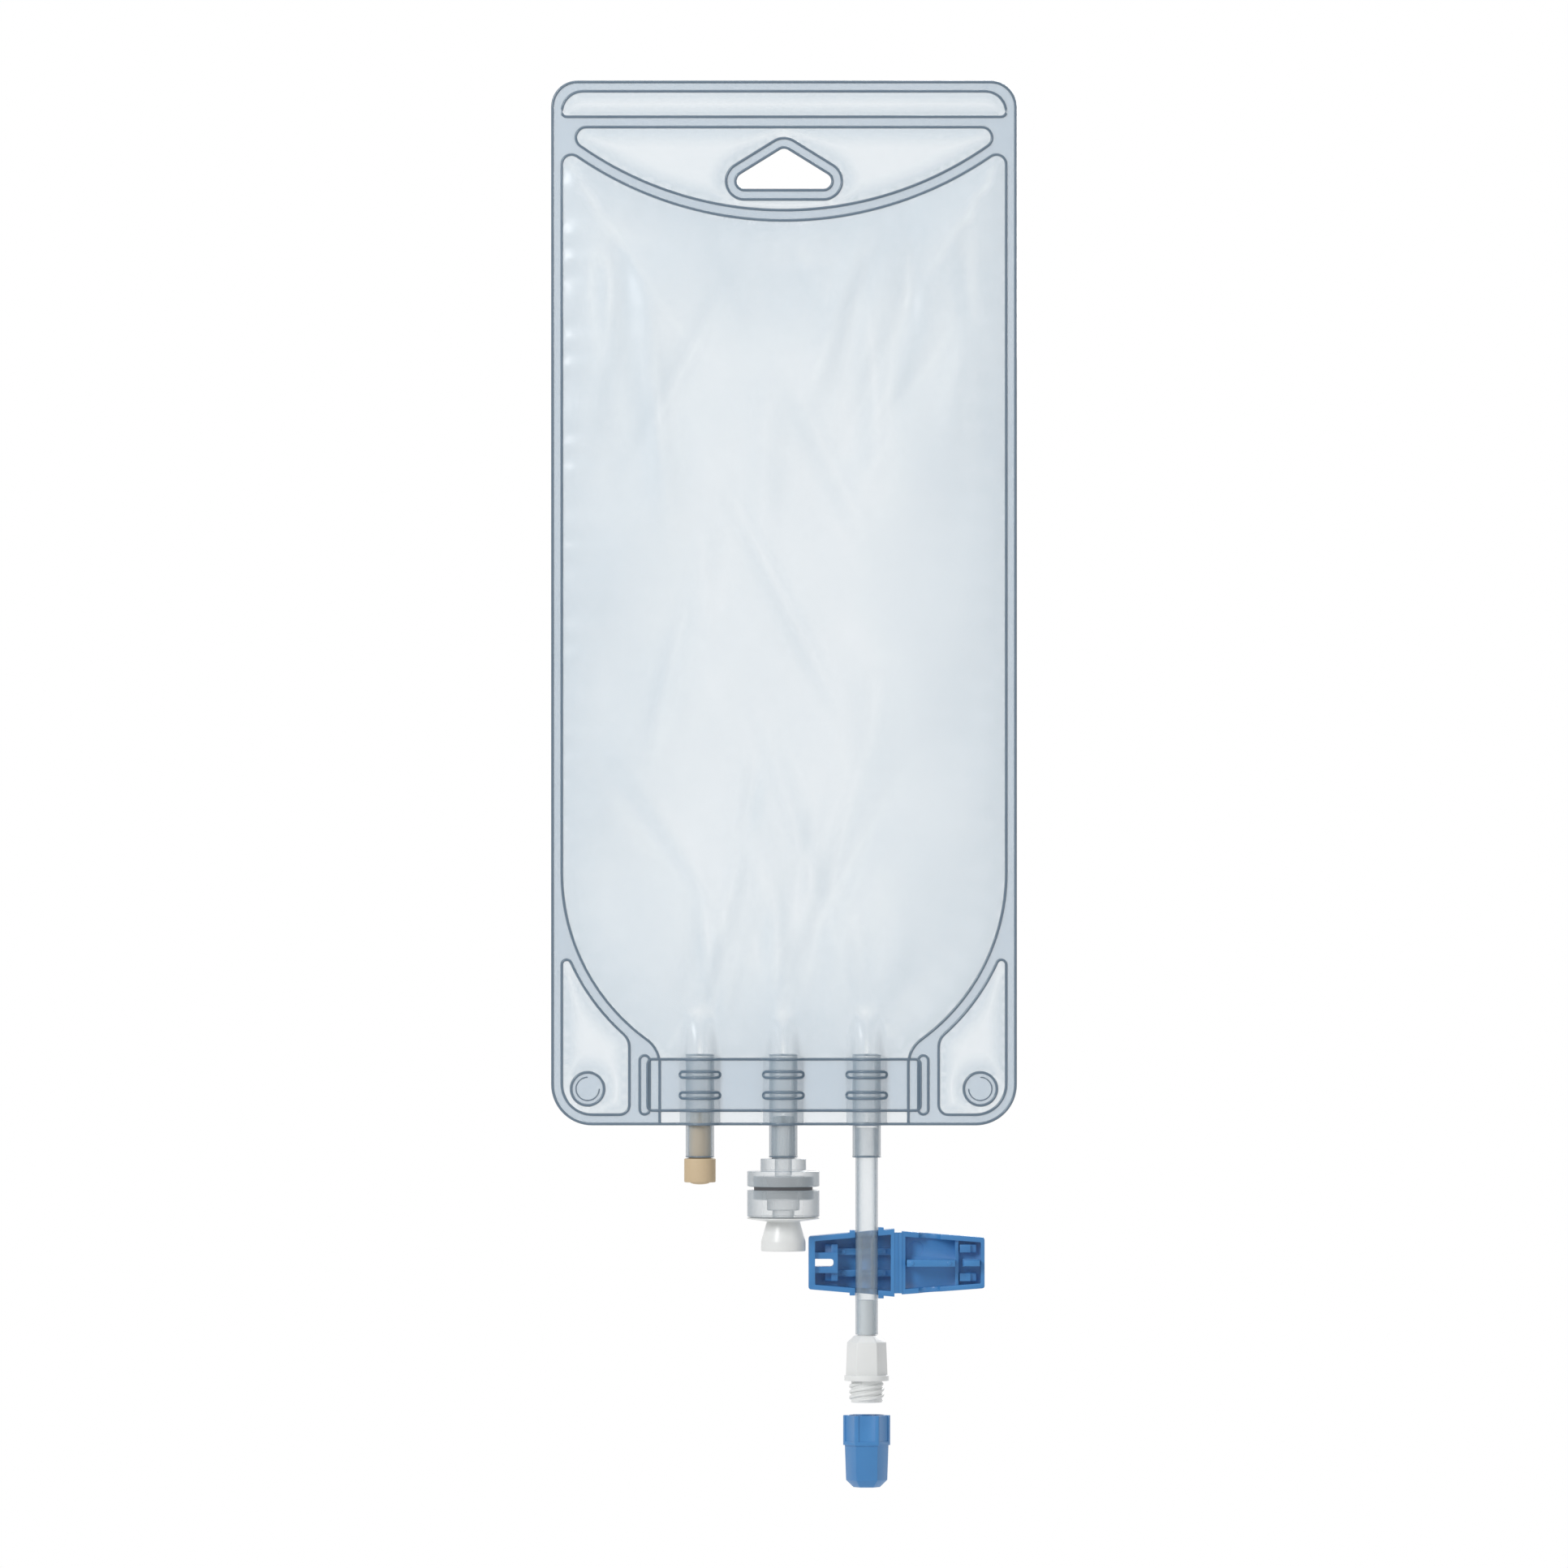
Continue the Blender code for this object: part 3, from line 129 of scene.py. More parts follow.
def plug(tree, slot, value):
    if isinstance(value, Wire):
        tree.links.new(value.socket, slot)
    else:
        slot.default_value = value


def addNode(tree, kind, settings=None, sockets=None, output=0):
    # A node with its settings made first, then its sockets, by their names or numbers.
    made = tree.nodes.new(kind)
    for name, value in (settings or {}).items():
        setattr(made, name, value)
    for name, value in (sockets or {}).items():
        plug(tree, made.inputs[name], value)
    return Wire(tree, made.outputs[output])


class Finish:
    # A material on one Principled shader.
    def __init__(self, name, plain):
        self.material = bpy.data.materials.new(name)
        self.material.use_nodes = True
        self.tree = self.material.node_tree
        self.feed(plain)

    def feed(self, sockets):
        for name, value in sockets.items():
            plug(self.tree, self.tree.nodes["Principled BSDF"].inputs[name], value)

    def node(self, kind, settings=None, sockets=None, output=0):
        return addNode(self.tree, "ShaderNode" + kind, settings, sockets, output)

    def noise(self, scale, detail=3.0, rough=0.5):
        spot = self.node("TexCoord", output="Object")
        sockets = {"Vector": spot, "Scale": scale, "Detail": detail, "Roughness": rough}
        return self.node("TexNoise", sockets=sockets, output="Fac")

    def blend(self, share, first, second):
        sockets = {"Factor": share, 6: first, 7: second}
        return self.node("Mix", {"data_type": "RGBA"}, sockets, 2)

    def bump(self, height, strength, distance=0.05 * mm):
        sockets = {"Height": height, "Strength": strength, "Distance": distance}
        self.feed({"Normal": self.node("Bump", sockets=sockets, output="Normal")})


filmLook = {
    "chamber": (0.66, 0.77, 0.85, 1.0), "weld": (0.52, 0.65, 0.76, 1.0),
    "chamberAlpha": 0.13, "weldAlpha": 0.27,
    "haze": 0.07, "hazeScale": 22.0,      # how much the film's cloudiness varies
    # painted shade: the film shows more where it leans away from the front, for the light its folds
    # bend
    "foldAlpha": 0.55, "foldMost": 0.22,  # how much more shows where the film leans
    "edgeAlpha": 0.45, "edgePower": 3.0,  # how much more shows where it is seen edge on
    "chamberRoughness": 0.22, "weldRoughness": 0.12, "roughnessDrift": 0.12,
    "emboss": 0.10, "embossScale": 1600.0,  # fine matt texture of the film's face
}


def filmFinish():
    look = filmLook
    skin = Finish("clearFilm", {"IOR": 1.49, "Coat Weight": 0.5, "Coat Roughness": 0.15})
    weld = skin.node("Attribute", {"attribute_name": "weld"}, output="Fac")
    haze = skin.noise(look["hazeScale"], 4.0) - 0.5
    grain = skin.noise(look["embossScale"], 1.0)
    facing = skin.node("LayerWeight", sockets={"Blend": 0.5}, output="Facing")
    normal = skin.node("TexCoord", output="Normal")
    lean = skin.node("SeparateXYZ", sockets={"Vector": normal}, output="Y")
    # Painted shade: where the film leans away from the front, more of it shows, for the light its
    # folds bend.
    tilt = (1.0 - lean * lean) ** 0.5
    tilt = tilt.maths("MINIMUM", tilt, look["foldMost"])
    alpha = look["chamberAlpha"] + weld * (look["weldAlpha"] - look["chamberAlpha"])
    alpha += haze * look["haze"] + tilt * look["foldAlpha"] * (1.0 - weld)
    rise = look["weldRoughness"] - look["chamberRoughness"]
    skin.feed({
        "Base Color": skin.blend(weld, look["chamber"], look["weld"]),
        "Alpha": alpha + (facing ** look["edgePower"]) * look["edgeAlpha"],
        "Roughness": look["chamberRoughness"] + weld * rise + haze * look["roughnessDrift"],
    })
    skin.bump(grain * (1.0 - weld), look["emboss"])
    return skin.material


lineLook = {
    "colour": (0.10, 0.16, 0.23, 1.0), "pale": (0.20, 0.28, 0.36, 1.0), "cloudScale": 90.0,
    "alpha": 0.92, "alphaDrift": 0.2, "roughness": 0.18, "roughnessDrift": 0.1,
}


def lineFinish():
    # The squeezed edge of a weld, which looks darker because it bends the light.
    look = lineLook
    edge = Finish("weldEdge", {"IOR": 1.49, "Coat Weight": 0.6, "Coat Roughness": 0.05})
    cloud = edge.noise(look["cloudScale"])
    edge.feed({
        "Base Color": edge.blend(cloud, look["colour"], look["pale"]),
        "Alpha": look["alpha"] - look["alphaDrift"] * cloud,
        "Roughness": look["roughness"] + look["roughnessDrift"] * cloud,
    })
    return edge.material


wallLook = {
    "rim": 0.88, "rimPower": 1.6, "cloudScale": 60.0, "alphaDrift": 0.06, "roughness": 0.12,
    "roughnessDrift": 0.12, "grain": 0.05, "grainScale": 420.0,
}
# deep is the painted shade that the clear walls take on towards their rims.
tubeLook = {"colour": (0.62, 0.74, 0.82, 1.0), "deep": (0.09, 0.15, 0.22, 1.0), "alpha": 0.12}
frostLook = {"colour": (0.76, 0.83, 0.87, 1.0), "deep": (0.16, 0.23, 0.30, 1.0), "alpha": 0.28}


def tubeFinish(name, look):
    # Clear plastic wall: nearly see-through where it faces the eye, more opaque towards its rims,
    # where painted shade darkens it.
    every = wallLook
    wall = Finish(name, {"IOR": 1.45, "Coat Weight": 0.6, "Coat Roughness": 0.06})
    facing = wall.node("LayerWeight", sockets={"Blend": 0.5}, output="Facing")
    cloud = wall.noise(every["cloudScale"])
    alpha = look["alpha"] + (facing ** every["rimPower"]) * every["rim"]
    wall.feed({
        # Painted shade: the colour darkens towards the rims, for the light that the curved wall bends
        # away.
        "Base Color": wall.blend(facing, look["colour"], look["deep"]),
        "Alpha": alpha + (cloud - 0.5) * every["alphaDrift"],
        "Roughness": every["roughness"] + every["roughnessDrift"] * cloud,
    })
    wall.bump(wall.noise(every["grainScale"], 2.0), every["grain"])
    return wall.material


whiteLook = {"colour": (0.84, 0.85, 0.84, 1.0), "shade": (0.76, 0.78, 0.78, 1.0), "roughness": 0.34}
blueLook = {"colour": (0.055, 0.25, 0.56, 1.0), "shade": (0.04, 0.19, 0.46, 1.0), "roughness": 0.33}
mouldGrain = {"flow": 90.0, "spark": 1100.0, "flowDrift": 0.3, "sparkDrift": 0.1, "bump": 0.3}


def mouldFinish(name, look):
    # Injection-moulded plastic: faint flow shading, a satin face and fine texture.
    skin = Finish(name, {"IOR": 1.5, "Coat Weight": 0.15, "Coat Roughness": 0.2})
    flow = skin.noise(mouldGrain["flow"], 4.0)
    spark = skin.noise(mouldGrain["spark"], 2.0)
    drift = mouldGrain["flowDrift"] * (flow - 0.5) + mouldGrain["sparkDrift"] * spark
    skin.feed({
        "Base Color": skin.blend(flow, look["shade"], look["colour"]),
        "Roughness": look["roughness"] + drift,
    })
    skin.bump(spark + flow, mouldGrain["bump"])
    return skin.material


greyLook = {"colour": (0.20, 0.20, 0.21, 1.0), "shade": (0.14, 0.14, 0.15, 1.0), "roughness": 0.62}
naturalLook = {"colour": (0.66, 0.52, 0.34, 1.0), "shade": (0.56, 0.43, 0.27, 1.0), "roughness": 0.58}
rubberGrain = {"dust": 240.0, "fine": 1900.0, "drift": 0.2, "bump": 0.25, "depth": 0.06 * mm}


def rubberFinish(name, look):
    skin = Finish(name, {"IOR": 1.52})
    dust = skin.noise(rubberGrain["dust"], 5.0, 0.6)
    fine = skin.noise(rubberGrain["fine"], 2.0)
    skin.feed({
        "Base Color": skin.blend(dust, look["shade"], look["colour"]),
        "Roughness": look["roughness"] + rubberGrain["drift"] * (dust - 0.5),
    })
    skin.bump(fine + dust * 0.5, rubberGrain["bump"], rubberGrain["depth"])
    return skin.material


clearFilm = filmFinish()
weldEdge = lineFinish()
clearTube = tubeFinish("clearTube", tubeLook)
frostedMoulding = tubeFinish("frostedMoulding", frostLook)
whiteMoulding = mouldFinish("whiteMoulding", whiteLook)
blueMoulding = mouldFinish("blueMoulding", blueLook)
greyRubber = rubberFinish("greyRubber", greyLook)
naturalRubber = rubberFinish("naturalRubber", naturalLook)
print("materials ready")


# Plane geometry, as (x, z) points

# How far apart an outline's points lie, from long stretches to the tightest bends.
outlineStep, ringStep, cornerStep = 1.1 * mm, 0.9 * mm, 0.7 * mm
smallStep, tightStep = 0.5 * mm, 0.4 * mm


def arc(centre, radius, start, end, step=outlineStep):
    # Points on a circle from one angle to another, in degrees, both ends included.
    count = max(3, math.ceil(radius * math.radians(abs(end - start)) / step))
    turns = [math.radians(start + (end - start) * k / count) for k in range(count + 1)]
    return [(centre[0] + radius * math.cos(a), centre[1] + radius * math.sin(a)) for a in turns]


def angleTo(centre, point):
    return math.degrees(math.atan2(point[1] - centre[1], point[0] - centre[0]))


def mirrored(right):
    return right + [(-x, z) for x, z in reversed(right) if abs(x) > 1e-9]


def flipped(outline, side):
    return [(side * x, z) for x, z in outline]


def rounded(corners, radius):
    # An outline round equal circles at the corners, given anticlockwise.
    outline = []
    for k, centre in enumerate(corners):
        start = angleTo(corners[k - 1], centre) - 90
        end = angleTo(centre, corners[(k + 1) % len(corners)]) - 90
        outline += arc(centre, radius, start, end + 360 * (end < start), smallStep)
    return outline


def tangentCircle(x, radius, other, otherRadius):
    reach = otherRadius + radius
    return (x, other[1] - math.sqrt(reach ** 2 - (x - other[0]) ** 2))


def divided(outline, step=outlineStep):
    # The closed outline with its long edges cut into equal stretches.
    points = []
    for k, (bx, bz) in enumerate(outline):
        ax, az = outline[k - 1]
        dx, dz = bx - ax, bz - az
        count = max(1, round(math.hypot(dx, dz) / step))
        points += [(ax + dx * i / count, az + dz * i / count) for i in range(count)]
    return points


def inside(points, outline):
    x, z = points[:, 0], points[:, 1]
    odd = np.zeros(len(points), bool)
    for k, (bx, bz) in enumerate(outline):
        ax, az = outline[k - 1]
        if az != bz:
            crossing = (az > z) != (bz > z)
            odd ^= crossing & (x < ax + (bx - ax) * (z - az) / (bz - az))
    return odd


def distance(points, outline):
    # Shortest way to a closed outline, and how far along the outline its nearest place is.
    best = np.full(len(points), 1.0)
    along = np.zeros(len(points))
    travelled = 0.0
    for k, (bx, bz) in enumerate(outline):
        ax, az = outline[k - 1]
        dx, dz = bx - ax, bz - az
        length = math.hypot(dx, dz)
        share = ((points[:, 0] - ax) * dx + (points[:, 1] - az) * dz) / length ** 2
        share = np.clip(share, 0, 1)
        away = np.hypot(points[:, 0] - ax - share * dx, points[:, 1] - az - share * dz)
        nearer = away < best
        best[nearer] = away[nearer]
        along[nearer] = travelled + share[nearer] * length
        travelled += length
    return best, along


# Outlines of the bag, its unwelded fields and its holes

bag = inMetres(
    {"bellyFullness": 0.8, "slitTurn": 270.0}, weld=3.0, topCorner=7.5, bottomCorner=11.8,
    film=0.3, headerHeight=7.4, headerTopCorner=6.1, headerLowCorner=1.4, headerPuff=0.6,
    crescentDepth=24.1, crescentEnd=3.0, crescentArc=103.1, crescentPuff=0.8, puffRise=5.0,
    holeHalfWidth=13.8, holeHeight=11.8, holeCorner=2.36, belly=5.0, bellyRise=45.0,
    chamberCorner=2.83, chamberSideEnd=73.3, chamberCurve=60.0, mouthHalfWidth=36.1,
    mouthFillet=8.95, pocketInnerX=44.9, pocketFillet=5.0, pocketTip=1.4, pocketLowCorner=2.83,
    pocketOuterCorner=8.9, pocketPuff=0.8, eyeletInset=10.5, eyeletRise=10.5, eyeletRing=4.8,
    eyeletSlit=3.37, slitWidth=0.4,
)
weldBar = inMetres(
    {"beadDrops": (3.6 * mm, 9.6 * mm)}, rise=4.2, height=14.9, halfWidth=39.6, corner=1.4,
    stadiumX=40.45, stadiumWidth=2.87, stadiumHeight=17.1, stadiumRelief=0.3, beadHeight=1.75,
    beadRelief=0.42, wrapHalfWidth=5.84, wrapFoot=5.9, wrapFade=22.0, mouthMargin=0.02,
    footMargin=0.04,
)

fieldX = halfWidth - bag["weld"]
headerTop = bagTop - bag["weld"]
headerBottom = headerTop - bag["headerHeight"]
crescentTop = headerBottom - bag["weld"]
arcCentre = (0.0, crescentTop - bag["crescentDepth"] + bag["crescentArc"])
chamberArc = bag["crescentArc"] + bag["weld"]
curveCentre = (fieldX - bag["chamberCurve"], bagBottom + bag["chamberSideEnd"])
barBottom = bagBottom + weldBar["rise"]
barTop = barBottom + weldBar["height"]
eyelet = (halfWidth - bag["eyeletInset"], bagBottom + bag["eyeletRise"])
wrapArc = portRadius + 1.5 * gap
wrapTangent = wrapArc ** 2 / weldBar["wrapFoot"]


def panel(half, top, low, upper, lower, inset=0.0, upperStep=outlineStep, lowerStep=outlineStep):
    # A block with round corners of two sizes, as wide to the left as to the right.
    right = arc((half - upper, top - upper), upper - inset, 90, 0, upperStep)
    right += arc((half - lower, low + lower), lower - inset, 0, -90, lowerStep)
    return divided(mirrored(right))


def bagEdge(inset=0.0):
    return panel(halfWidth, bagTop, bagBottom, bag["topCorner"], bag["bottomCorner"], inset)


def headerField():
    upper, lower = bag["headerTopCorner"], bag["headerLowCorner"]
    return panel(fieldX, headerTop, headerBottom, upper, lower, lowerStep=smallStep)


def crescentField():
    endZ = crescentTop - bag["crescentEnd"]
    reach = bag["crescentArc"] - bag["crescentEnd"]
    end = (math.sqrt(reach ** 2 - (arcCentre[1] - endZ) ** 2), endZ)
    leave = angleTo(arcCentre, end)
    right = arc(end, bag["crescentEnd"], 90, leave, cornerStep)
    return divided(mirrored(right + arc(arcCentre, bag["crescentArc"], leave, -90)[1:]))


def hangerHole(grow=0.0):
    lowZ = bag["holeCorner"] - bag["holeHeight"]
    side = bag["holeHalfWidth"] - bag["holeCorner"]
    corners = [(0, -bag["holeCorner"]), (-side, lowZ), (side, lowZ)]
    return divided(rounded(corners, bag["holeCorner"] + grow))


def chamberSide():
    # The chamber's right half, from the top arc's middle down to the weld bar.
    radius = bag["chamberCorner"]
    corner = tangentCircle(fieldX - radius, radius, arcCentre, chamberArc)
    meet = angleTo(arcCentre, corner)
    right = arc(arcCentre, chamberArc, -90, meet)
    right += arc(corner, radius, meet + 180, 0, cornerStep)[1:]
    filletX = bag["mouthHalfWidth"] + bag["mouthFillet"]
    fillet = tangentCircle(filletX, bag["mouthFillet"], curveCentre, bag["chamberCurve"])
    leave = angleTo(curveCentre, fillet)
    right += arc(curveCentre, bag["chamberCurve"], 0, leave)
    stop = 180 - math.degrees(math.asin(max(barTop - fillet[1], 0) / bag["mouthFillet"]))
    return right + arc(fillet, bag["mouthFillet"], leave + 180, stop)[1:]


def cornerPocket():
    slant = bag["chamberCurve"] + bag["weld"]
    low = bagBottom + bag["weld"]
    tipRadius, filletRadius = bag["pocketTip"], bag["pocketFillet"]
    outerRadius, innerRadius = bag["pocketOuterCorner"], bag["pocketLowCorner"]
    tip = tangentCircle(fieldX - tipRadius, tipRadius, curveCentre, slant)
    fillet = tangentCircle(bag["pocketInnerX"] + filletRadius, filletRadius, curveCentre, slant)
    tipTurn, filletTurn = angleTo(curveCentre, tip), angleTo(curveCentre, fillet)
    outer = (fieldX - outerRadius, low + outerRadius)
    inner = (bag["pocketInnerX"] + innerRadius, low + innerRadius)
    outline = arc(tip, tipRadius, tipTurn + 180, 0, smallStep)
    outline += arc(outer, outerRadius, 0, -90)
    outline += arc(inner, innerRadius, -90, -180, cornerStep)
    outline += arc(fillet, filletRadius, 180, filletTurn + 180)
    return divided(outline + arc(curveCentre, slant, filletTurn, tipTurn)[1:-1])


def eyeletSlit():
    start, stop, half = 180.0, 180.0 + bag["slitTurn"], bag["slitWidth"] / 2
    outer = arc(eyelet, bag["eyeletSlit"] + half, start, stop, smallStep)
    return outer + arc(eyelet, bag["eyeletSlit"] - half, stop, start, smallStep)


def stadium(centreX, centreZ, width, height):
    # A slot outline with round ends on its long axis.
    radius = min(width, height) / 2
    dx, dz = width / 2 - radius, height / 2 - radius
    turn = 0 if dz > dx else -90
    outline = arc((centreX + dx, centreZ + dz), radius, turn, turn + 180, tightStep)
    outline += arc((centreX - dx, centreZ - dz), radius, turn + 180, turn + 360, tightStep)
    return divided(outline, tightStep)


def barOutline():
    corner, half = weldBar["corner"], weldBar["halfWidth"]
    return panel(half, barTop, barBottom, corner, corner, 0.0, tightStep, tightStep)


def beadOutlines():
    width, height = 2 * weldBar["wrapHalfWidth"], weldBar["beadHeight"]
    return [stadium(x, barTop - drop - height / 2, width, height)
            for x in portXs for drop in weldBar["beadDrops"]]


def openEdge():
    # The loose edge of the films below the bar, between the mouth lines.
    half, low = bag["mouthHalfWidth"], bagBottom + weldBar["mouthMargin"]
    return divided([(half, low), (half, barBottom), (-half, barBottom), (-half, low)])


def wrapFeet():
    # Where the film comes down from a port tube onto the other film.
    half, low = weldBar["wrapFoot"], bagBottom + weldBar["footMargin"]
    high = portTop + weldBar["wrapFade"]
    return [divided([(x + half, low), (x + half, high), (x - half, high), (x - half, low)])
            for x in portXs]


def endWelds():
    x, z = weldBar["stadiumX"], (barTop + barBottom) / 2
    size = weldBar["stadiumWidth"], weldBar["stadiumHeight"]
    return [stadium(side * x, z, *size) for side in (-1, 1)]


edgeLine, header, crescent = bagEdge(), headerField(), crescentField()
hole, holeRing = hangerHole(), hangerHole(bag["weld"])
chamber, pocket, slit = divided(mirrored(chamberSide())), cornerPocket(), eyeletSlit()
print("outlines ready")


# The films' form

creaseLook = inMetres(
    {
        "seed": 7, "count": 34, "seamPower": 1.5, "endPower": 0.7,
        "slant": 0.35, "spread": 0.8, "shift": 1.7,  # how the broad waves cross each other
        "sway": 1.3, "swayRate": 0.37,  # how far the puckers' rhythm wanders
    },
    height=0.62, width=3.4, seamRamp=14, pucker=0.22, puckerWave=10.5, puckerDepth=9.0,
    puckerRise=2.5, drape=0.5, drapeWave=62.0,
)
creaseRange = {  # in millimetres and degrees
    "portX": (-6, 6), "portRise": (4, 20), "portTurn": (-34, 34), "cornerInset": (6, 22),
    "cornerZ": (-16, -34), "cornerTurn": (-24, 24), "middleX": (-52, 52), "middleZ": (-235, -40),
    "middleTurn": (50, 130), "length": (26, 88), "strength": (0.35, 1.0), "breadth": (0.6, 1.4),
}


def creases(side):
    # Soft folds that fan up from the ports and down from the upper corners, and a few across.
    draw = random.Random(creaseLook["seed"] + side)

    def pick(name):
        return draw.uniform(*creaseRange[name])

    folds = []
    for k in range(creaseLook["count"]):
        if k % 3 == 0:
            x = draw.choice(portXs) + pick("portX") * mm
            z = portTop + pick("portRise") * mm
            turn = math.radians(90 + pick("portTurn"))
        elif k % 3 == 1:
            x = draw.choice((-1, 1)) * (fieldX - pick("cornerInset") * mm)
            z = pick("cornerZ") * mm
            turn = math.radians(-90 + pick("cornerTurn"))
        else:
            x, z = pick("middleX") * mm, pick("middleZ") * mm
            turn = math.radians(pick("middleTurn"))
        length = pick("length") * mm
        end = (x + length * math.cos(turn), z + length * math.sin(turn))
        strength = pick("strength") * draw.choice((-1, 1))
        folds.append(((x, z), end, strength, pick("breadth")))
    return folds


def wrinkles(points, away, along, side):
    # Height that the film's soft folds add inside the chamber.
    look = creaseLook
    ramp = np.clip(away / look["seamRamp"], 0, 1) ** look["seamPower"]
    x, z = points[:, 0], points[:, 1]
    wave = 2 * math.pi / look["drapeWave"]
    upward = np.sin(wave * (z + look["slant"] * x * side) + side)
    across = np.sin(look["spread"] * wave * x + look["shift"] * side)
    height = look["drape"] * (upward * across) * ramp
    for (ax, az), (bx, bz), strength, breadth in creases(side):
        dx, dz = bx - ax, bz - az
        share = ((x - ax) * dx + (z - az) * dz) / (dx * dx + dz * dz)
        held = np.clip(share, 0, 1)
        off = np.hypot(x - ax - held * dx, z - az - held * dz) / (breadth * look["width"])
        taper = np.sin(math.pi * np.clip(held, 0.02, 0.98)) ** look["endPower"]
        height += look["height"] * strength * taper * np.exp(-off ** 2) * ramp
    rhythm = 2 * math.pi / look["puckerWave"]
    sway = look["sway"] * np.sin(look["swayRate"] * rhythm * along + side)
    beat = np.sin(rhythm * along + sway)
    inward = puff(1.0, look["puckerRise"], away) * np.exp(-away / look["puckerDepth"])
    return height + look["pucker"] * beat * inward


def puff(height, rise, away):
    # A height that is reached at the way `rise` from a seam.
    return height * np.sin(math.pi / 2 * np.clip(away / rise, 0, 1))


def wrapHeight(offset):
    # Inner side of a film that is drawn over a port tube.
    across = np.abs(offset)
    top = math.sqrt(wrapArc ** 2 - wrapTangent ** 2)
    slope = top * (weldBar["wrapFoot"] - across) / (weldBar["wrapFoot"] - wrapTangent)
    bow = np.sqrt(np.clip(wrapArc ** 2 - across ** 2, 0, None))
    return np.where(across <= wrapTangent, bow, np.clip(slope, 0, None))


def openFields(points):
    # Which points lie in the header, the crescent, the corner pockets and the chamber, where the
    # films stay apart, after the points on the right half and their way from the eyelet's ring.
    right = np.column_stack((np.abs(points[:, 0]), points[:, 1]))
    ring = np.hypot(right[:, 0] - eyelet[0], right[:, 1] - eyelet[1]) - bag["eyeletRing"]
    inCrescent = inside(points, crescent) & ~inside(points, holeRing)
    inPocket = inside(right, pocket) & (ring > 0)
    return right, ring, [inside(points, header), inCrescent, inPocket, inside(points, chamber)]


def innerHeight(points, side):
    # How far the film's inner side stands off the plane where the films are welded.
    height, belly = np.zeros(len(points)), np.zeros(len(points))
    right, ring, (inHeader, inCrescent, inPocket, inChamber) = openFields(points)
    near = distance(points[inHeader], header)[0]
    height[inHeader] = puff(bag["headerPuff"], bag["headerHeight"] / 2, near)
    within = points[inCrescent]
    near = np.minimum(distance(within, crescent)[0], distance(within, holeRing)[0])
    height[inCrescent] = puff(bag["crescentPuff"], bag["puffRise"], near)
    near = np.minimum(distance(right[inPocket], pocket)[0], ring[inPocket])
    height[inPocket] = puff(bag["pocketPuff"], bag["puffRise"], near)
    within = points[inChamber]
    away, along = distance(within, chamber)
    shape = bag["belly"] * puff(1.0, bag["bellyRise"], away) ** bag["bellyFullness"]
    belly[inChamber] = np.clip(shape + wrinkles(within, away, along, side), 0, None)
    fade = np.clip((points[:, 1] - portTop - gap) / weldBar["wrapFade"], 0, 1)
    wrap = np.max([wrapHeight(points[:, 0] - x) for x in portXs], axis=0)
    wrap = wrap * (1 + np.cos(math.pi * fade)) / 2
    return height + (belly ** 3 + wrap ** 3) ** (1 / 3)  # the higher one, with a soft change


def relief(points):
    # Extra thickness on the outer side, at the sealing beads and end welds.
    height = np.zeros(len(points))
    raised = [(line, weldBar["beadRelief"], weldBar["beadHeight"] / 2) for line in beadOutlines()]
    raised += [(line, weldBar["stadiumRelief"], weldBar["stadiumWidth"] / 3) for line in endWelds()]
    for outline, rise, half in raised:
        within = inside(points, outline)
        if within.any():
            share = np.clip(distance(points[within], outline)[0] / half, 0, 1)
            height[within] = rise * np.sqrt(1 - (1 - share) ** 2)
    return height


# Grids of points inside the film: step across, step up and least way from any other point.
grids = {
    "bead": (0.5 * mm, 0.29 * mm, 0.2 * mm), "wrap": (0.61 * mm, 1.1 * mm, 0.42 * mm),
    "endWeld": (0.5 * mm, 0.8 * mm, 0.3 * mm), "all": (1.9 * mm, 1.65 * mm, 0.9 * mm),
}


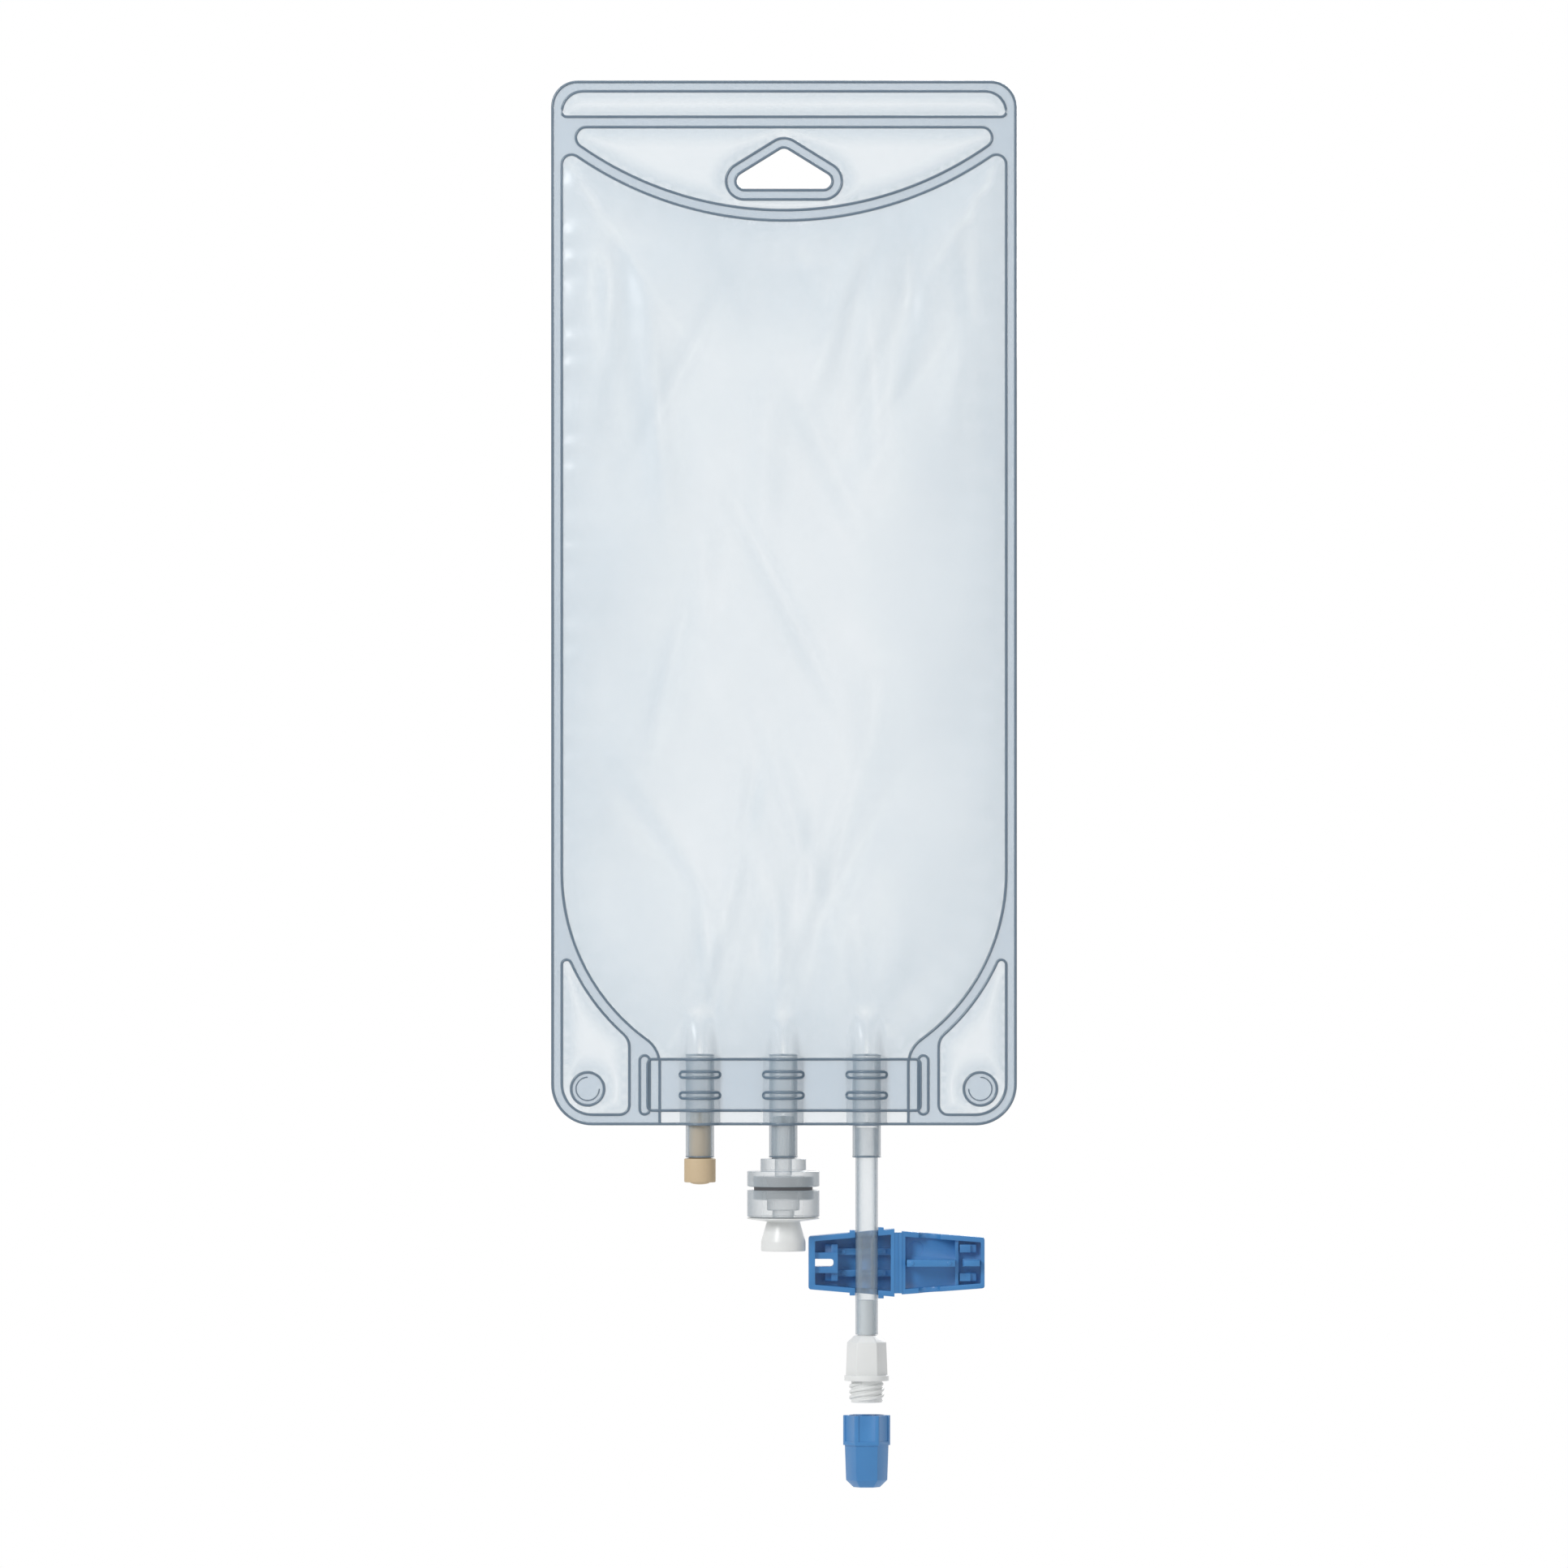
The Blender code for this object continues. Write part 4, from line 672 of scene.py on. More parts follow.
def filmPlan():
    # Triangles of the film seen from the front, with every weld's outline as an edge line.
    points, edges = [], []

    def loop(outline):
        first, count = len(points), len(outline)
        points.extend(outline)
        edges.extend((first + k, first + (k + 1) % count) for k in range(count))

    def fill(grid, low, high, stagger=True):
        stepX, stepZ, near = grids[grid]
        tree = KDTree(len(points))
        for k, (x, z) in enumerate(points):
            tree.insert((x, z, 0), k)
        tree.balance()
        columns = np.arange(low[0], high[0] + stepX / 2, stepX)
        for r, z in enumerate(np.arange(low[1], high[1] + stepZ / 2, stepZ)):
            row = [(x + stepX / 2 * (stagger and r % 2), z) for x in columns]
            points.extend(p for p in row if tree.find((p[0], p[1], 0))[2] > near)

    for outline in (edgeLine, header, crescent, holeRing, hole, chamber):
        loop(outline)
    for side in (-1, 1):
        ring = arc(eyelet, bag["eyeletRing"], 0, 360, ringStep)[:-1]
        for outline in (pocket, ring, slit):
            loop(flipped(outline, side))
    for outline in [*beadOutlines(), *endWelds(), openEdge(), *wrapFeet()]:
        loop(outline)
    half, bead = weldBar["wrapHalfWidth"], weldBar["beadHeight"]
    for x in portXs:
        for drop in weldBar["beadDrops"]:
            low = barTop - drop - bead
            fill("bead", (x - half, low), (x + half, low + bead))
        fill("wrap", (x - half, bagBottom), (x + half, portTop + weldBar["wrapFade"]), False)
    for side in (-1, 1):
        x, half = side * weldBar["stadiumX"], weldBar["stadiumWidth"] / 2
        fill("endWeld", (x - half, barBottom), (x + half, barTop))
    fill("all", (-halfWidth, bagBottom), (halfWidth, bagTop))
    triangles = delaunay_2d_cdt([Vector(p) for p in points], edges, [], 0, 1e-6)
    plane = np.array([tuple(p) for p in triangles[0]])
    faces = np.array([tuple(f) for f in triangles[2]])
    middle = plane[faces].mean(axis=1)
    kept = inside(middle, edgeLine) & ~inside(middle, hole)
    for side in (-1, 1):
        kept &= ~inside(middle, flipped(slit, side))
    used, renumbered = np.unique(faces[kept], return_inverse=True)  # drops points in the holes
    return plane[used], renumbered.reshape(-1, 3), middle[kept]


def weldMask(middle):
    # One where the films are fused, nought in the fields that stay open.
    under = (np.abs(middle[:, 0]) < bag["mouthHalfWidth"]) & (middle[:, 1] < barBottom)
    return (~(np.any(openFields(middle)[2], axis=0) | under)).astype(np.float32)


plan, planFaces, planMiddle = filmPlan()
planWeld = weldMask(planMiddle)
planRelief = relief(plan)
meeting = 0.02 * mm  # each film's inner side stays this far off the other's
print("film plan:", len(plan), "points,", len(planFaces), "triangles")


def placed(name, data):
    thing = bpy.data.objects.new(name, data)
    scene.collection.objects.link(thing)
    return thing


def meshObject(name, verts, edges=(), faces=(), material=None):
    mesh = bpy.data.meshes.new(name)
    mesh.from_pydata([tuple(v) for v in verts], edges, faces)
    mesh.update()
    if material:
        mesh.materials.append(material)
    return placed(name, mesh)


def bmeshObject(name, bm, material):
    mesh = bpy.data.meshes.new(name)
    bm.to_mesh(mesh)
    bm.free()
    mesh.materials.append(material)
    return placed(name, mesh)


# Bends over so many degrees look sharp: on films and turned pieces, on round lines, on mouldings.
turnedAngle, lineAngle, mouldAngle = 40.0, 60.0, 38.0


def smooth(thing, angle):
    thing.data.shade_smooth()
    thing.data.set_sharp_from_angle(angle=math.radians(angle))
    return thing


def facedOut(mesh, merge=0.0):
    bm = bmesh.new()
    bm.from_mesh(mesh)
    if merge:
        bmesh.ops.remove_doubles(bm, verts=bm.verts, dist=merge)
    bmesh.ops.recalc_face_normals(bm, faces=bm.faces)
    bm.to_mesh(mesh)
    bm.free()


def baked(thing, modifier, material):
    # The object with the modifier's result as its plain mesh.
    graph = bpy.context.evaluated_depsgraph_get()
    made = bpy.data.meshes.new_from_object(thing.evaluated_get(graph))
    thing.modifiers.remove(modifier)
    made.materials.clear()
    made.materials.append(material)
    thing.data = made
    return thing


def settle(piece, slot, *nodes, body="bag"):
    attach(piece, body)
    if nodes:
        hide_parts(*nodes)
    return piece


def film(name, node, side):
    # One film as a closed shell: side is -1 for the front and 1 for the back.
    inner = innerHeight(plan, side) + meeting
    outer = inner + bag["film"] + planRelief
    count = len(plan)
    verts = [(x, side * y, z) for (x, z), y in zip(plan, inner)]
    verts += [(x, side * y, z) for (x, z), y in zip(plan, outer)]
    turned = planFaces[:, ::side]  # the two films' outer sides face opposite ways
    sides = {(face[k - 1], face[k]): True for face in turned.tolist() for k in range(3)}
    walls = [(q, p, p + count, q + count) for p, q in sides if (q, p) not in sides]
    faces = (turned + count).tolist() + turned[:, ::-1].tolist() + walls
    shell = meshObject(name, verts, [], faces, clearFilm)
    facedOut(shell.data)
    mask = shell.data.attributes.new("weld", "FLOAT", "FACE")
    rim = np.ones(len(walls), np.float32)
    mask.data.foreach_set("value", np.concatenate((planWeld, planWeld, rim)))
    settle(smooth(shell, turnedAngle), "clear_film", node)


film("front_film_skin", "front_film", -1)
film("back_film_skin", "back_film", 1)
print("films made")


# Lines pressed along the welds, by a node tree that runs a round section along each outline

def nodeTree(name, inputs):
    tree = bpy.data.node_groups.new(name, "GeometryNodeTree")
    for label, kind in {"Geometry": "Geometry", **inputs}.items():
        tree.interface.new_socket(label, in_out="INPUT", socket_type="NodeSocket" + kind)
    tree.interface.new_socket("Geometry", in_out="OUTPUT", socket_type="NodeSocketGeometry")
    start = tree.nodes.new("NodeGroupInput")
    return tree, {socket.name: Wire(tree, socket) for socket in start.outputs}


def ended(tree, geometry, material):
    real = addNode(tree, "GeometryNodeRealizeInstances", None, {"Geometry": geometry})
    sockets = {"Geometry": real, "Material": material}
    painted = addNode(tree, "GeometryNodeSetMaterial", None, sockets)
    plug(tree, tree.nodes.new("NodeGroupOutput").inputs[0], painted)
    return tree


def grown(thing, tree, values):
    # Runs the tree on the object and keeps its result as a plain mesh.
    step = thing.modifiers.new("nodes", "NODES")
    step.node_group = tree
    sockets = {s.name: s.identifier for s in tree.interface.items_tree if s.in_out == "INPUT"}
    for name, value in values.items():
        step[sockets[name]] = value
    return baked(thing, step, values["Material"])


def lineTree():
    inputs = {"Radius": "Float", "Sides": "Int", "Material": "Material"}
    tree, given = nodeTree("weldLines", inputs)
    path = addNode(tree, "GeometryNodeMeshToCurve", None, {"Mesh": given["Geometry"]})
    sockets = {"Radius": given["Radius"], "Resolution": given["Sides"]}
    section = addNode(tree, "GeometryNodeCurvePrimitiveCircle", None, sockets)
    sockets = {"Curve": path, "Profile Curve": section, "Fill Caps": True}
    pipe = addNode(tree, "GeometryNodeCurveToMesh", None, sockets)
    return ended(tree, pipe, given["Material"])


weldLines = inMetres({"sides": 8}, radius=0.42, sink=0.2, inset=0.3, slitRadius=0.2)
lines = lineTree()


def pipePiece(name, paths, radius, slot):
    # Round lines along paths, each given as its points and whether it is closed.
    verts, edges = [], []
    for path, closed in paths:
        first, count = len(verts), len(path)
        verts += path
        edges += [(first + k, first + k + 1) for k in range(count - 1)]
        if closed:
            edges.append((first + count - 1, first))
    values = {"Radius": radius, "Sides": weldLines["sides"], "Material": weldEdge}
    piece = grown(meshObject(name, verts, edges), lines, values)
    settle(smooth(piece, lineAngle), slot)


def mouthLine(side):
    # The chamber's mouth, drawn on through the weld bar to the bag's lower edge.
    low = bagBottom + weldLines["inset"]
    count = math.ceil((barTop - bagBottom) / outlineStep)
    x = side * bag["mouthHalfWidth"]
    return [(x, barTop + (low - barTop) * k / count) for k in range(count + 1)]


def weldLinePiece(name, side):
    inset = weldLines["inset"]
    closed = [header, crescent, holeRing, hangerHole(inset), bagEdge(inset), barOutline()]
    closed += [*beadOutlines(), *endWelds()]
    ring = arc(eyelet, bag["eyeletRing"], 0, 360, cornerStep)[:-1]
    for flip in (-1, 1):
        closed += [flipped(pocket, flip), flipped(ring, flip)]
    right = chamberSide()
    loose = [mouthLine(-1), mouthLine(1), [(-x, z) for x, z in reversed(right)] + right[1:]]
    paths = [(path, True) for path in closed] + [(path, False) for path in loose]
    flat = np.array([point for path, shut in paths for point in path])
    stand = innerHeight(flat, side) + meeting + bag["film"] + relief(flat) - weldLines["sink"]
    depths = iter(side * stand)
    raised = [([(x, next(depths), z) for x, z in path], shut) for path, shut in paths]
    pipePiece(name, raised, weldLines["radius"], "clear_film")


def slitLinePiece(name):
    # The cut edge of both eyelets' slits, as one thin dark line in the slit: painted shade where the
    # cut edges bend the light.
    path = arc(eyelet, bag["eyeletSlit"], 180.0, 180.0 + bag["slitTurn"], tightStep)
    paths = [([(flip * x, 0, z) for x, z in path], False) for flip in (-1, 1)]
    pipePiece(name, paths, weldLines["slitRadius"], "clear_film")


weldLinePiece("front_weld_lines", -1)
weldLinePiece("back_weld_lines", 1)
slitLinePiece("eyelet_slit_edges")
print("weld lines made")


# Turned pieces

turnSteps, cornerSteps = 96, 4
cornerShare = 0.45  # the most of an edge that one rounded corner takes


def softened(profile, radius, closed):
    # The profile with each corner off the axis rounded by a short arc.
    points, last = [], len(profile) - 1
    for k, (r, z) in enumerate(profile):
        here = Vector((r, z))
        before = Vector(profile[k - 1]) - here
        after = Vector(profile[(k + 1) % len(profile)]) - here
        straight = (before.normalized() + after.normalized()).length < 0.02
        if straight or r < 1e-6 or (not closed and k in (0, last)):
            points.append((r, z))
            continue
        reach = min(radius, cornerShare * before.length, cornerShare * after.length)
        start, end = here + before.normalized() * reach, here + after.normalized() * reach
        for i in range(cornerSteps + 1):
            t = i / cornerSteps
            points.append(tuple(start * (1 - t) ** 2 + here * 2 * t * (1 - t) + end * t ** 2))
    return points


def turnedPiece(name, profile, x, material, radius=0.2 * mm, closed=False, steps=turnSteps):
    # A solid of revolution about an upright line at x.
    outline = softened(profile, radius, closed)
    edges = [(k, k + 1) for k in range(len(outline) - 1)]
    if closed:
        edges.append((len(outline) - 1, 0))
    piece = meshObject(name, [(r, 0, z) for r, z in outline], edges)
    turn = piece.modifiers.new("turn", "SCREW")
    turn.steps = turn.render_steps = steps
    turn.use_merge_vertices = True
    turn.merge_threshold = 1e-6
    baked(piece, turn, material)
    facedOut(piece.data, 1e-7)
    piece.data.transform(Matrix.Translation((x, 0, 0)))
    return smooth(piece, turnedAngle)


def around(x, radius, z, count):
    # A level ring of points about an upright line at x.
    turns = [2 * math.pi * k / count for k in range(count)]
    return [(x + radius * math.cos(a), radius * math.sin(a), z) for a in turns]


def sleeve(rings, caps):
    # A closed bmesh on rings of points, each end shut by faces of the given point numbers.
    bm = bmesh.new()
    loops = [[bm.verts.new(point) for point in ring] for ring in rings]
    for near, far in zip(loops, loops[1:]):
        for k in range(len(near)):
            bm.faces.new((near[k - 1], near[k], far[k], far[k - 1]))
    for loop in (loops[0], loops[-1]):
        for cap in caps:
            bm.faces.new([loop[k] for k in cap])
    bmesh.ops.recalc_face_normals(bm, faces=bm.faces)
    return bm


port = inMetres({"sides": 64}, bore=3.55, round=0.15, edge=0.22)
portBore, portEdge = port["bore"], port["edge"]
profile = [(portRadius, portTop), (portRadius, portLow), (portBore, portLow), (portBore, portTop)]
for portName, portX in zip(portNames, portXs):
    wall = turnedPiece(portName + "_wall", profile, portX, clearTube, port["round"], True)
    settle(wall, "clear_tube", portName)

# Dark rings at the cut ends of the port tubes: painted shade where the clear wall's cut end bends the
# light.
cutEnds = [
    (around(x, portRadius - portEdge / 2, z, port["sides"]), True)
    for x in portXs for z in (portTop - portEdge, portLow + portEdge)
]
pipePiece("port_tube_ends", cutEnds, portEdge, "clear_tube")
seatZ = portLow - gap
insertRadius = portBore - gap

stopper = inMetres(
    stem=13.6, tip=2.77, chamfer=1.9, taper=0.15, head=4.57, headHeight=6.9, domeRadius=2.85,
    dome=0.65, round=0.35,
)


def injectionStopper():
    s = stopper
    top, low = seatZ + s["stem"], seatZ - s["headHeight"]
    dome = [(s["domeRadius"] * math.cos(a), low - s["dome"] * math.sin(a))
            for a in (math.radians(15 * k) for k in range(6))]
    profile = [
        (0, top), (s["tip"], top), (insertRadius - s["taper"], top - s["chamfer"]),
        (insertRadius, seatZ), (s["head"], seatZ), (s["head"], low), *dome, (0, low - s["dome"]),
    ]
    piece = turnedPiece("injection_stopper_rubber", profile, portXs[0], naturalRubber, s["round"])
    settle(piece, "natural_rubber", "injection_stopper")


infusion = inMetres(
    spigot=12.0, bore=2.5, flange=6.65, flangeHeight=3.6, radius=10.54, upper=4.5, roof=1.5,
    septumRadius=8.52, septumHeight=6.2, split=1.0, lower=7.8, lowerBore=4.8, floor=1.85,
    spikeHole=3.2, round=0.35, membraneEdge=0.3, cone=0.8, neck=5.04, knobTop=4.8, knob=6.45,
    flare=5.8, rim=2.8, capRound=0.3,
)


def infusionPort():
    p, x, edge = infusion, portXs[1], infusion["radius"]
    spigotTop, housingTop = portLow + p["spigot"], seatZ - p["flangeHeight"]
    housingLow, roof = housingTop - p["upper"], housingTop - p["roof"]
    seat = p["septumRadius"] + gap
    housing = [
        (insertRadius, spigotTop), (insertRadius, seatZ), (p["flange"], seatZ),
        (p["flange"], housingTop), (edge, housingTop), (edge, housingLow), (seat, housingLow),
        (seat, roof), (p["bore"], roof), (p["bore"], spigotTop),
    ]
    piece = turnedPiece("infusion_housing_shell", housing, x, frostedMoulding, p["round"], True)
    settle(piece, "frosted_moulding", "infusion_port_housing")
    high, low = roof - gap, roof - gap - p["septumHeight"]
    disc = [(0, high), (p["septumRadius"], high), (p["septumRadius"], low), (0, low)]
    piece = turnedPiece("septum_disc", disc, x, greyRubber, p["round"])
    settle(piece, "grey_rubber", "septum")
    top, ledge = housingLow - p["split"], low - gap
    low = top - p["lower"]
    floor = low + p["floor"]
    retainer = [
        (edge, top), (edge, low), (p["spikeHole"], low), (p["spikeHole"], floor),
        (p["lowerBore"], floor), (p["lowerBore"], ledge), (seat, ledge), (seat, top),
    ]
    piece = turnedPiece("septum_retainer_shell", retainer, x, frostedMoulding, p["round"], True)
    settle(piece, "frosted_moulding", "septum_retainer")
    disc = low - gap
    neck = disc - p["membraneEdge"] - p["cone"]
    rim = neck - p["flare"]
    cap = [
        (0, disc), (edge, disc), (edge, disc - p["membraneEdge"]), (p["neck"], neck),
        (p["knobTop"], neck), (p["knob"], rim), (p["knob"], rim - p["rim"]), (0, rim - p["rim"]),
    ]
    piece = turnedPiece("pull_off_cap_knob", cap, x, whiteMoulding, p["capRound"])
    settle(piece, "white_moulding", "pull_off_cap")


injectionStopper()
infusionPort()
print("ports made")


# Filling tube: a cord of its drawn length, on a straight route down from the bag's lower edge

cord = inMetres(
    {"points": 25, "steps": 64, "stripSteps": 6, "pinchKeep": 0.17}, insert=8.6, free=51.4,
    wall=0.5, round=0.08, ringMargin=0.3, clampDrop=30.6, pinchHalf=7.4, pinchBack=3.6,
    stripFront=2.47, slip=0.02,
)
tubeX = portXs[2]
tubeTop, tubeLow = portLow + cord["insert"], portLow - cord["free"]
tubeOuter, tubeBore = insertRadius, insertRadius - cord["wall"]
cordStep = (tubeLow - tubeTop) / (cord["points"] - 1)
cordRoute = [(tubeX, 0, tubeTop + k * cordStep) for k in range(cord["points"])]


def tubeRing(top, low):
    # A full round stretch of the tube, with a ring at each of the route's points in it.
    margin = cord["ringMargin"]
    heights = [top] + [z for x, y, z in cordRoute if low + margin < z < top - margin] + [low]
    profile = [(tubeOuter, z) for z in heights] + [(tubeBore, z) for z in reversed(heights)]
    return turnedPiece("stretch", profile, tubeX, clearTube, cord["round"], True, cord["steps"])


def tubePart(name, top, low, slip):
    # The tube's wall behind the strip's front, or before it where slip is below nought.
    count = cord["steps"] // (4 if slip > 0 else 1)
    section = []
    for radius in (tubeOuter, tubeBore):
        half = math.acos((cord["stripFront"] + slip) / radius)
        start, turn = (-half, 2 * half) if slip > 0 else (half, 2 * (math.pi - half))
        turns = [start + turn * k / count for k in range(count + 1)]
        section.append([(tubeX + radius * math.sin(a), radius * math.cos(a)) for a in turns])
    ring = section[0] + section[1][::-1]
    size, steps = len(ring), cord["stripSteps"]
    heights = [top + (low - top) * k / steps for k in range(steps + 1)]
    rings = [[(x, y, z) for x, y in ring] for z in heights]
    caps = [(k, k + 1, size - 2 - k, size - 1 - k) for k in range(count)]
    return smooth(bmeshObject(name, sleeve(rings, caps), clearTube), turnedAngle)


def fillingTube():
    # The wall's front is a piece of its own inside the clamp.
    slip, clampZ = cord["slip"], portLow - cord["clampDrop"]
    top, low = clampZ + cord["pinchHalf"], clampZ - cord["pinchHalf"]
    tube = tubeRing(tubeTop, top + slip)
    strip = tubePart("strip", top, low, slip)
    lower = tubeRing(low - slip, tubeLow)
    pinch = tubePart("filling_tube_pinch", top, low, -slip)
    bm = bmesh.new()
    for piece in (tube, strip, lower):
        bm.from_mesh(piece.data)
    bm.to_mesh(tube.data)
    bm.free()
    bpy.data.objects.remove(strip)
    bpy.data.objects.remove(lower)
    tube.name = tube.data.name = "filling_tube_wall"
    settle(smooth(tube, turnedAngle), "clear_tube", "filling_tube")
    return tube, settle(pinch, "clear_tube")


tubePiece, pinchPiece = fillingTube()


# Clamp halves and cap: copies of the solids with their edges rounded

softEdge = inMetres({"segments": 2, "angle": 30.0}, clamp=0.12, cap=0.15)


def softCopy(node, body, width):
    bm = bmesh.new()
    bm.from_mesh(frame["nodes"][node].data)
    bmesh.ops.remove_doubles(bm, verts=bm.verts, dist=1e-6)
    bmesh.ops.dissolve_limit(bm, angle_limit=math.radians(1.0), verts=bm.verts, edges=bm.edges)
    piece = bmeshObject(node + "_moulding", bm, blueMoulding)
    soft = piece.modifiers.new("edges", "BEVEL")
    soft.width, soft.segments = width, softEdge["segments"]
    soft.limit_method, soft.angle_limit = "ANGLE", math.radians(softEdge["angle"])
    baked(piece, soft, blueMoulding)
    return settle(smooth(piece, mouldAngle), "blue_moulding", node, body=body)


web = inMetres({"steps": 8}, halfWidth=0.15, front=0.05, thickness=0.4, inset=0.35)


def foldWeb():
    # The thin strip that joins the two halves.
    hinge = next(joint for joint in frame["joints"] if joint["name"] == "clamp_lid_hinge")
    x, y, z = hinge["pos_m"]
    lidLow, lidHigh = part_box("clamp_lid")
    half, steps, front = web["halfWidth"], web["steps"], y + web["front"]
    back, low, high = front + web["thickness"], lidLow.z + web["inset"], lidHigh.z - web["inset"]
    section = [(front, low), (front, high), (back, high), (back, low)]
    across = [x - half + 2 * half * k / steps for k in range(steps + 1)]
    bm = sleeve([[(a, *corner) for corner in section] for a in across], [range(4)])
    piece = smooth(bmeshObject("clamp_fold_web", bm, blueMoulding), turnedAngle)
    x - half
    x + half
    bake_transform(piece)
    return piece


basePiece = softCopy("clamp_base", "bag", softEdge["clamp"])
lidPiece = softCopy("clamp_lid", "clamp_lid", softEdge["clamp"])
capPiece = softCopy("connector_cap", "connector_cap", softEdge["cap"])
webPiece = foldWeb()
print("clamp and cap made")


# Connector: turned body, six-sided grip and a three-start thread made by a node tree

connector = inMetres(
    insert=10.0, insertTip=2.34, insertRoot=2.6, bore=1.4, socket=2.15, socketDepth=6.5,
    socketTaper=0.2, neck=3.68, gripTop=5.75, gripLow=6.13, chamfer=2.0, gripHeight=9.5,
    gripRound=0.22, collar=6.46, collarHeight=1.6, thread=4.5, threadLength=6.3,
)
thread = inMetres(
    {"starts": 3, "taper": 0.12, "tip": 0.15, "steps": 72, "sides": 8}, lead=4.9, ridge=0.52,
    margin=0.6, crest=5.15,
)


def threadTree():
    inputs = {"Starts": "Int", "Turns": "Float", "Radius": "Float", "Length": "Float"}
    tree, given = nodeTree("threadRidges", {**inputs, "Ridge": "Float", "Material": "Material"})
    helix = addNode(tree, "GeometryNodeCurveSpiral", None, {
        "Resolution": thread["steps"], "Rotations": given["Turns"], "Start Radius": given["Radius"],
        "End Radius": given["Radius"], "Height": given["Length"], "Reverse": True,
    })
    along = addNode(tree, "GeometryNodeSplineParameter")
    taper = {"operation": "MULTIPLY_ADD", "use_clamp": True}  # both ends of a ridge run out
    rise = {0: along.maths("PINGPONG", along, 0.5), 1: 1 / thread["taper"], 2: thread["tip"]}
    sockets = {"Radius": given["Ridge"], "Resolution": thread["sides"]}
    ridge = addNode(tree, "GeometryNodeCurveToMesh", None, {
        "Curve": helix, "Scale": addNode(tree, "ShaderNodeMath", taper, rise), "Fill Caps": True,
        "Profile Curve": addNode(tree, "GeometryNodeCurvePrimitiveCircle", None, sockets),
    })
    index = addNode(tree, "GeometryNodeInputIndex")
    turn = index.maths("DIVIDE", index, given["Starts"]) * (2 * math.pi)
    copies = addNode(tree, "GeometryNodeInstanceOnPoints", None, {
        "Points": addNode(tree, "GeometryNodePoints", None, {"Count": given["Starts"]}),
        "Instance": ridge, "Rotation": addNode(tree, "ShaderNodeCombineXYZ", None, {"Z": turn}),
    })
    return ended(tree, copies, given["Material"])


def fillingConnector():
    c, bore = connector, connector["bore"]
    insertTop, gripZ = tubeLow + c["insert"], tubeLow - gap
    collarTop = gripZ - c["chamfer"] - c["gripHeight"]
    threadTop = collarTop - c["collarHeight"]
    low = threadTop - c["threadLength"]
    socketTop = low + c["socketDepth"]
    profile = [
        (bore, insertTop), (c["insertTip"], insertTop), (c["insertRoot"], gripZ),
        (c["insertRoot"], collarTop), (c["collar"], collarTop), (c["collar"], threadTop),
        (c["thread"], threadTop), (c["thread"], low), (c["socket"], low),
        (c["socket"] - c["socketTaper"], socketTop), (bore, socketTop),
    ]
    body = turnedPiece("filling_connector_body", profile, tubeX, whiteMoulding, closed=True)
    settle(body, "white_moulding", "filling_connector")
    # The six-sided grip has corners to the left and right.
    gripTop = gripZ - c["chamfer"]
    rings = [(c["gripLow"], collarTop - gap), (c["gripTop"], gripTop), (c["neck"], gripZ)]
    bm = sleeve([around(tubeX, radius, z, 6) for radius, z in rings], [range(6)])
    bmesh.ops.bevel(
        bm, geom=bm.edges[:], offset=c["gripRound"], segments=3, affect="EDGES", profile=0.5,
        clamp_overlap=True,
    )
    grip = smooth(bmeshObject("connector_grip", bm, whiteMoulding), mouldAngle)
    settle(grip, "white_moulding")
    length = c["threadLength"] - 2 * thread["margin"]
    ridges = grown(meshObject("connector_thread", [(0, 0, 0)]), threadTree(), {
        "Starts": thread["starts"], "Turns": length / thread["lead"], "Length": length,
        "Radius": thread["crest"] - thread["ridge"], "Ridge": thread["ridge"],
        "Material": whiteMoulding,
    })
    ridges.data.transform(Matrix.Translation((tubeX, 0, low + thread["margin"])))
    settle(smooth(ridges, lineAngle), "white_moulding")
    return [body, grip, ridges]


connectorPieces = fillingConnector()
cord["insert"] + cord["free"]
2 * tubeOuter
portLow - cord["clampDrop"]
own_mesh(pinchPiece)
print("connector and cord made")


# Stage, light and camera

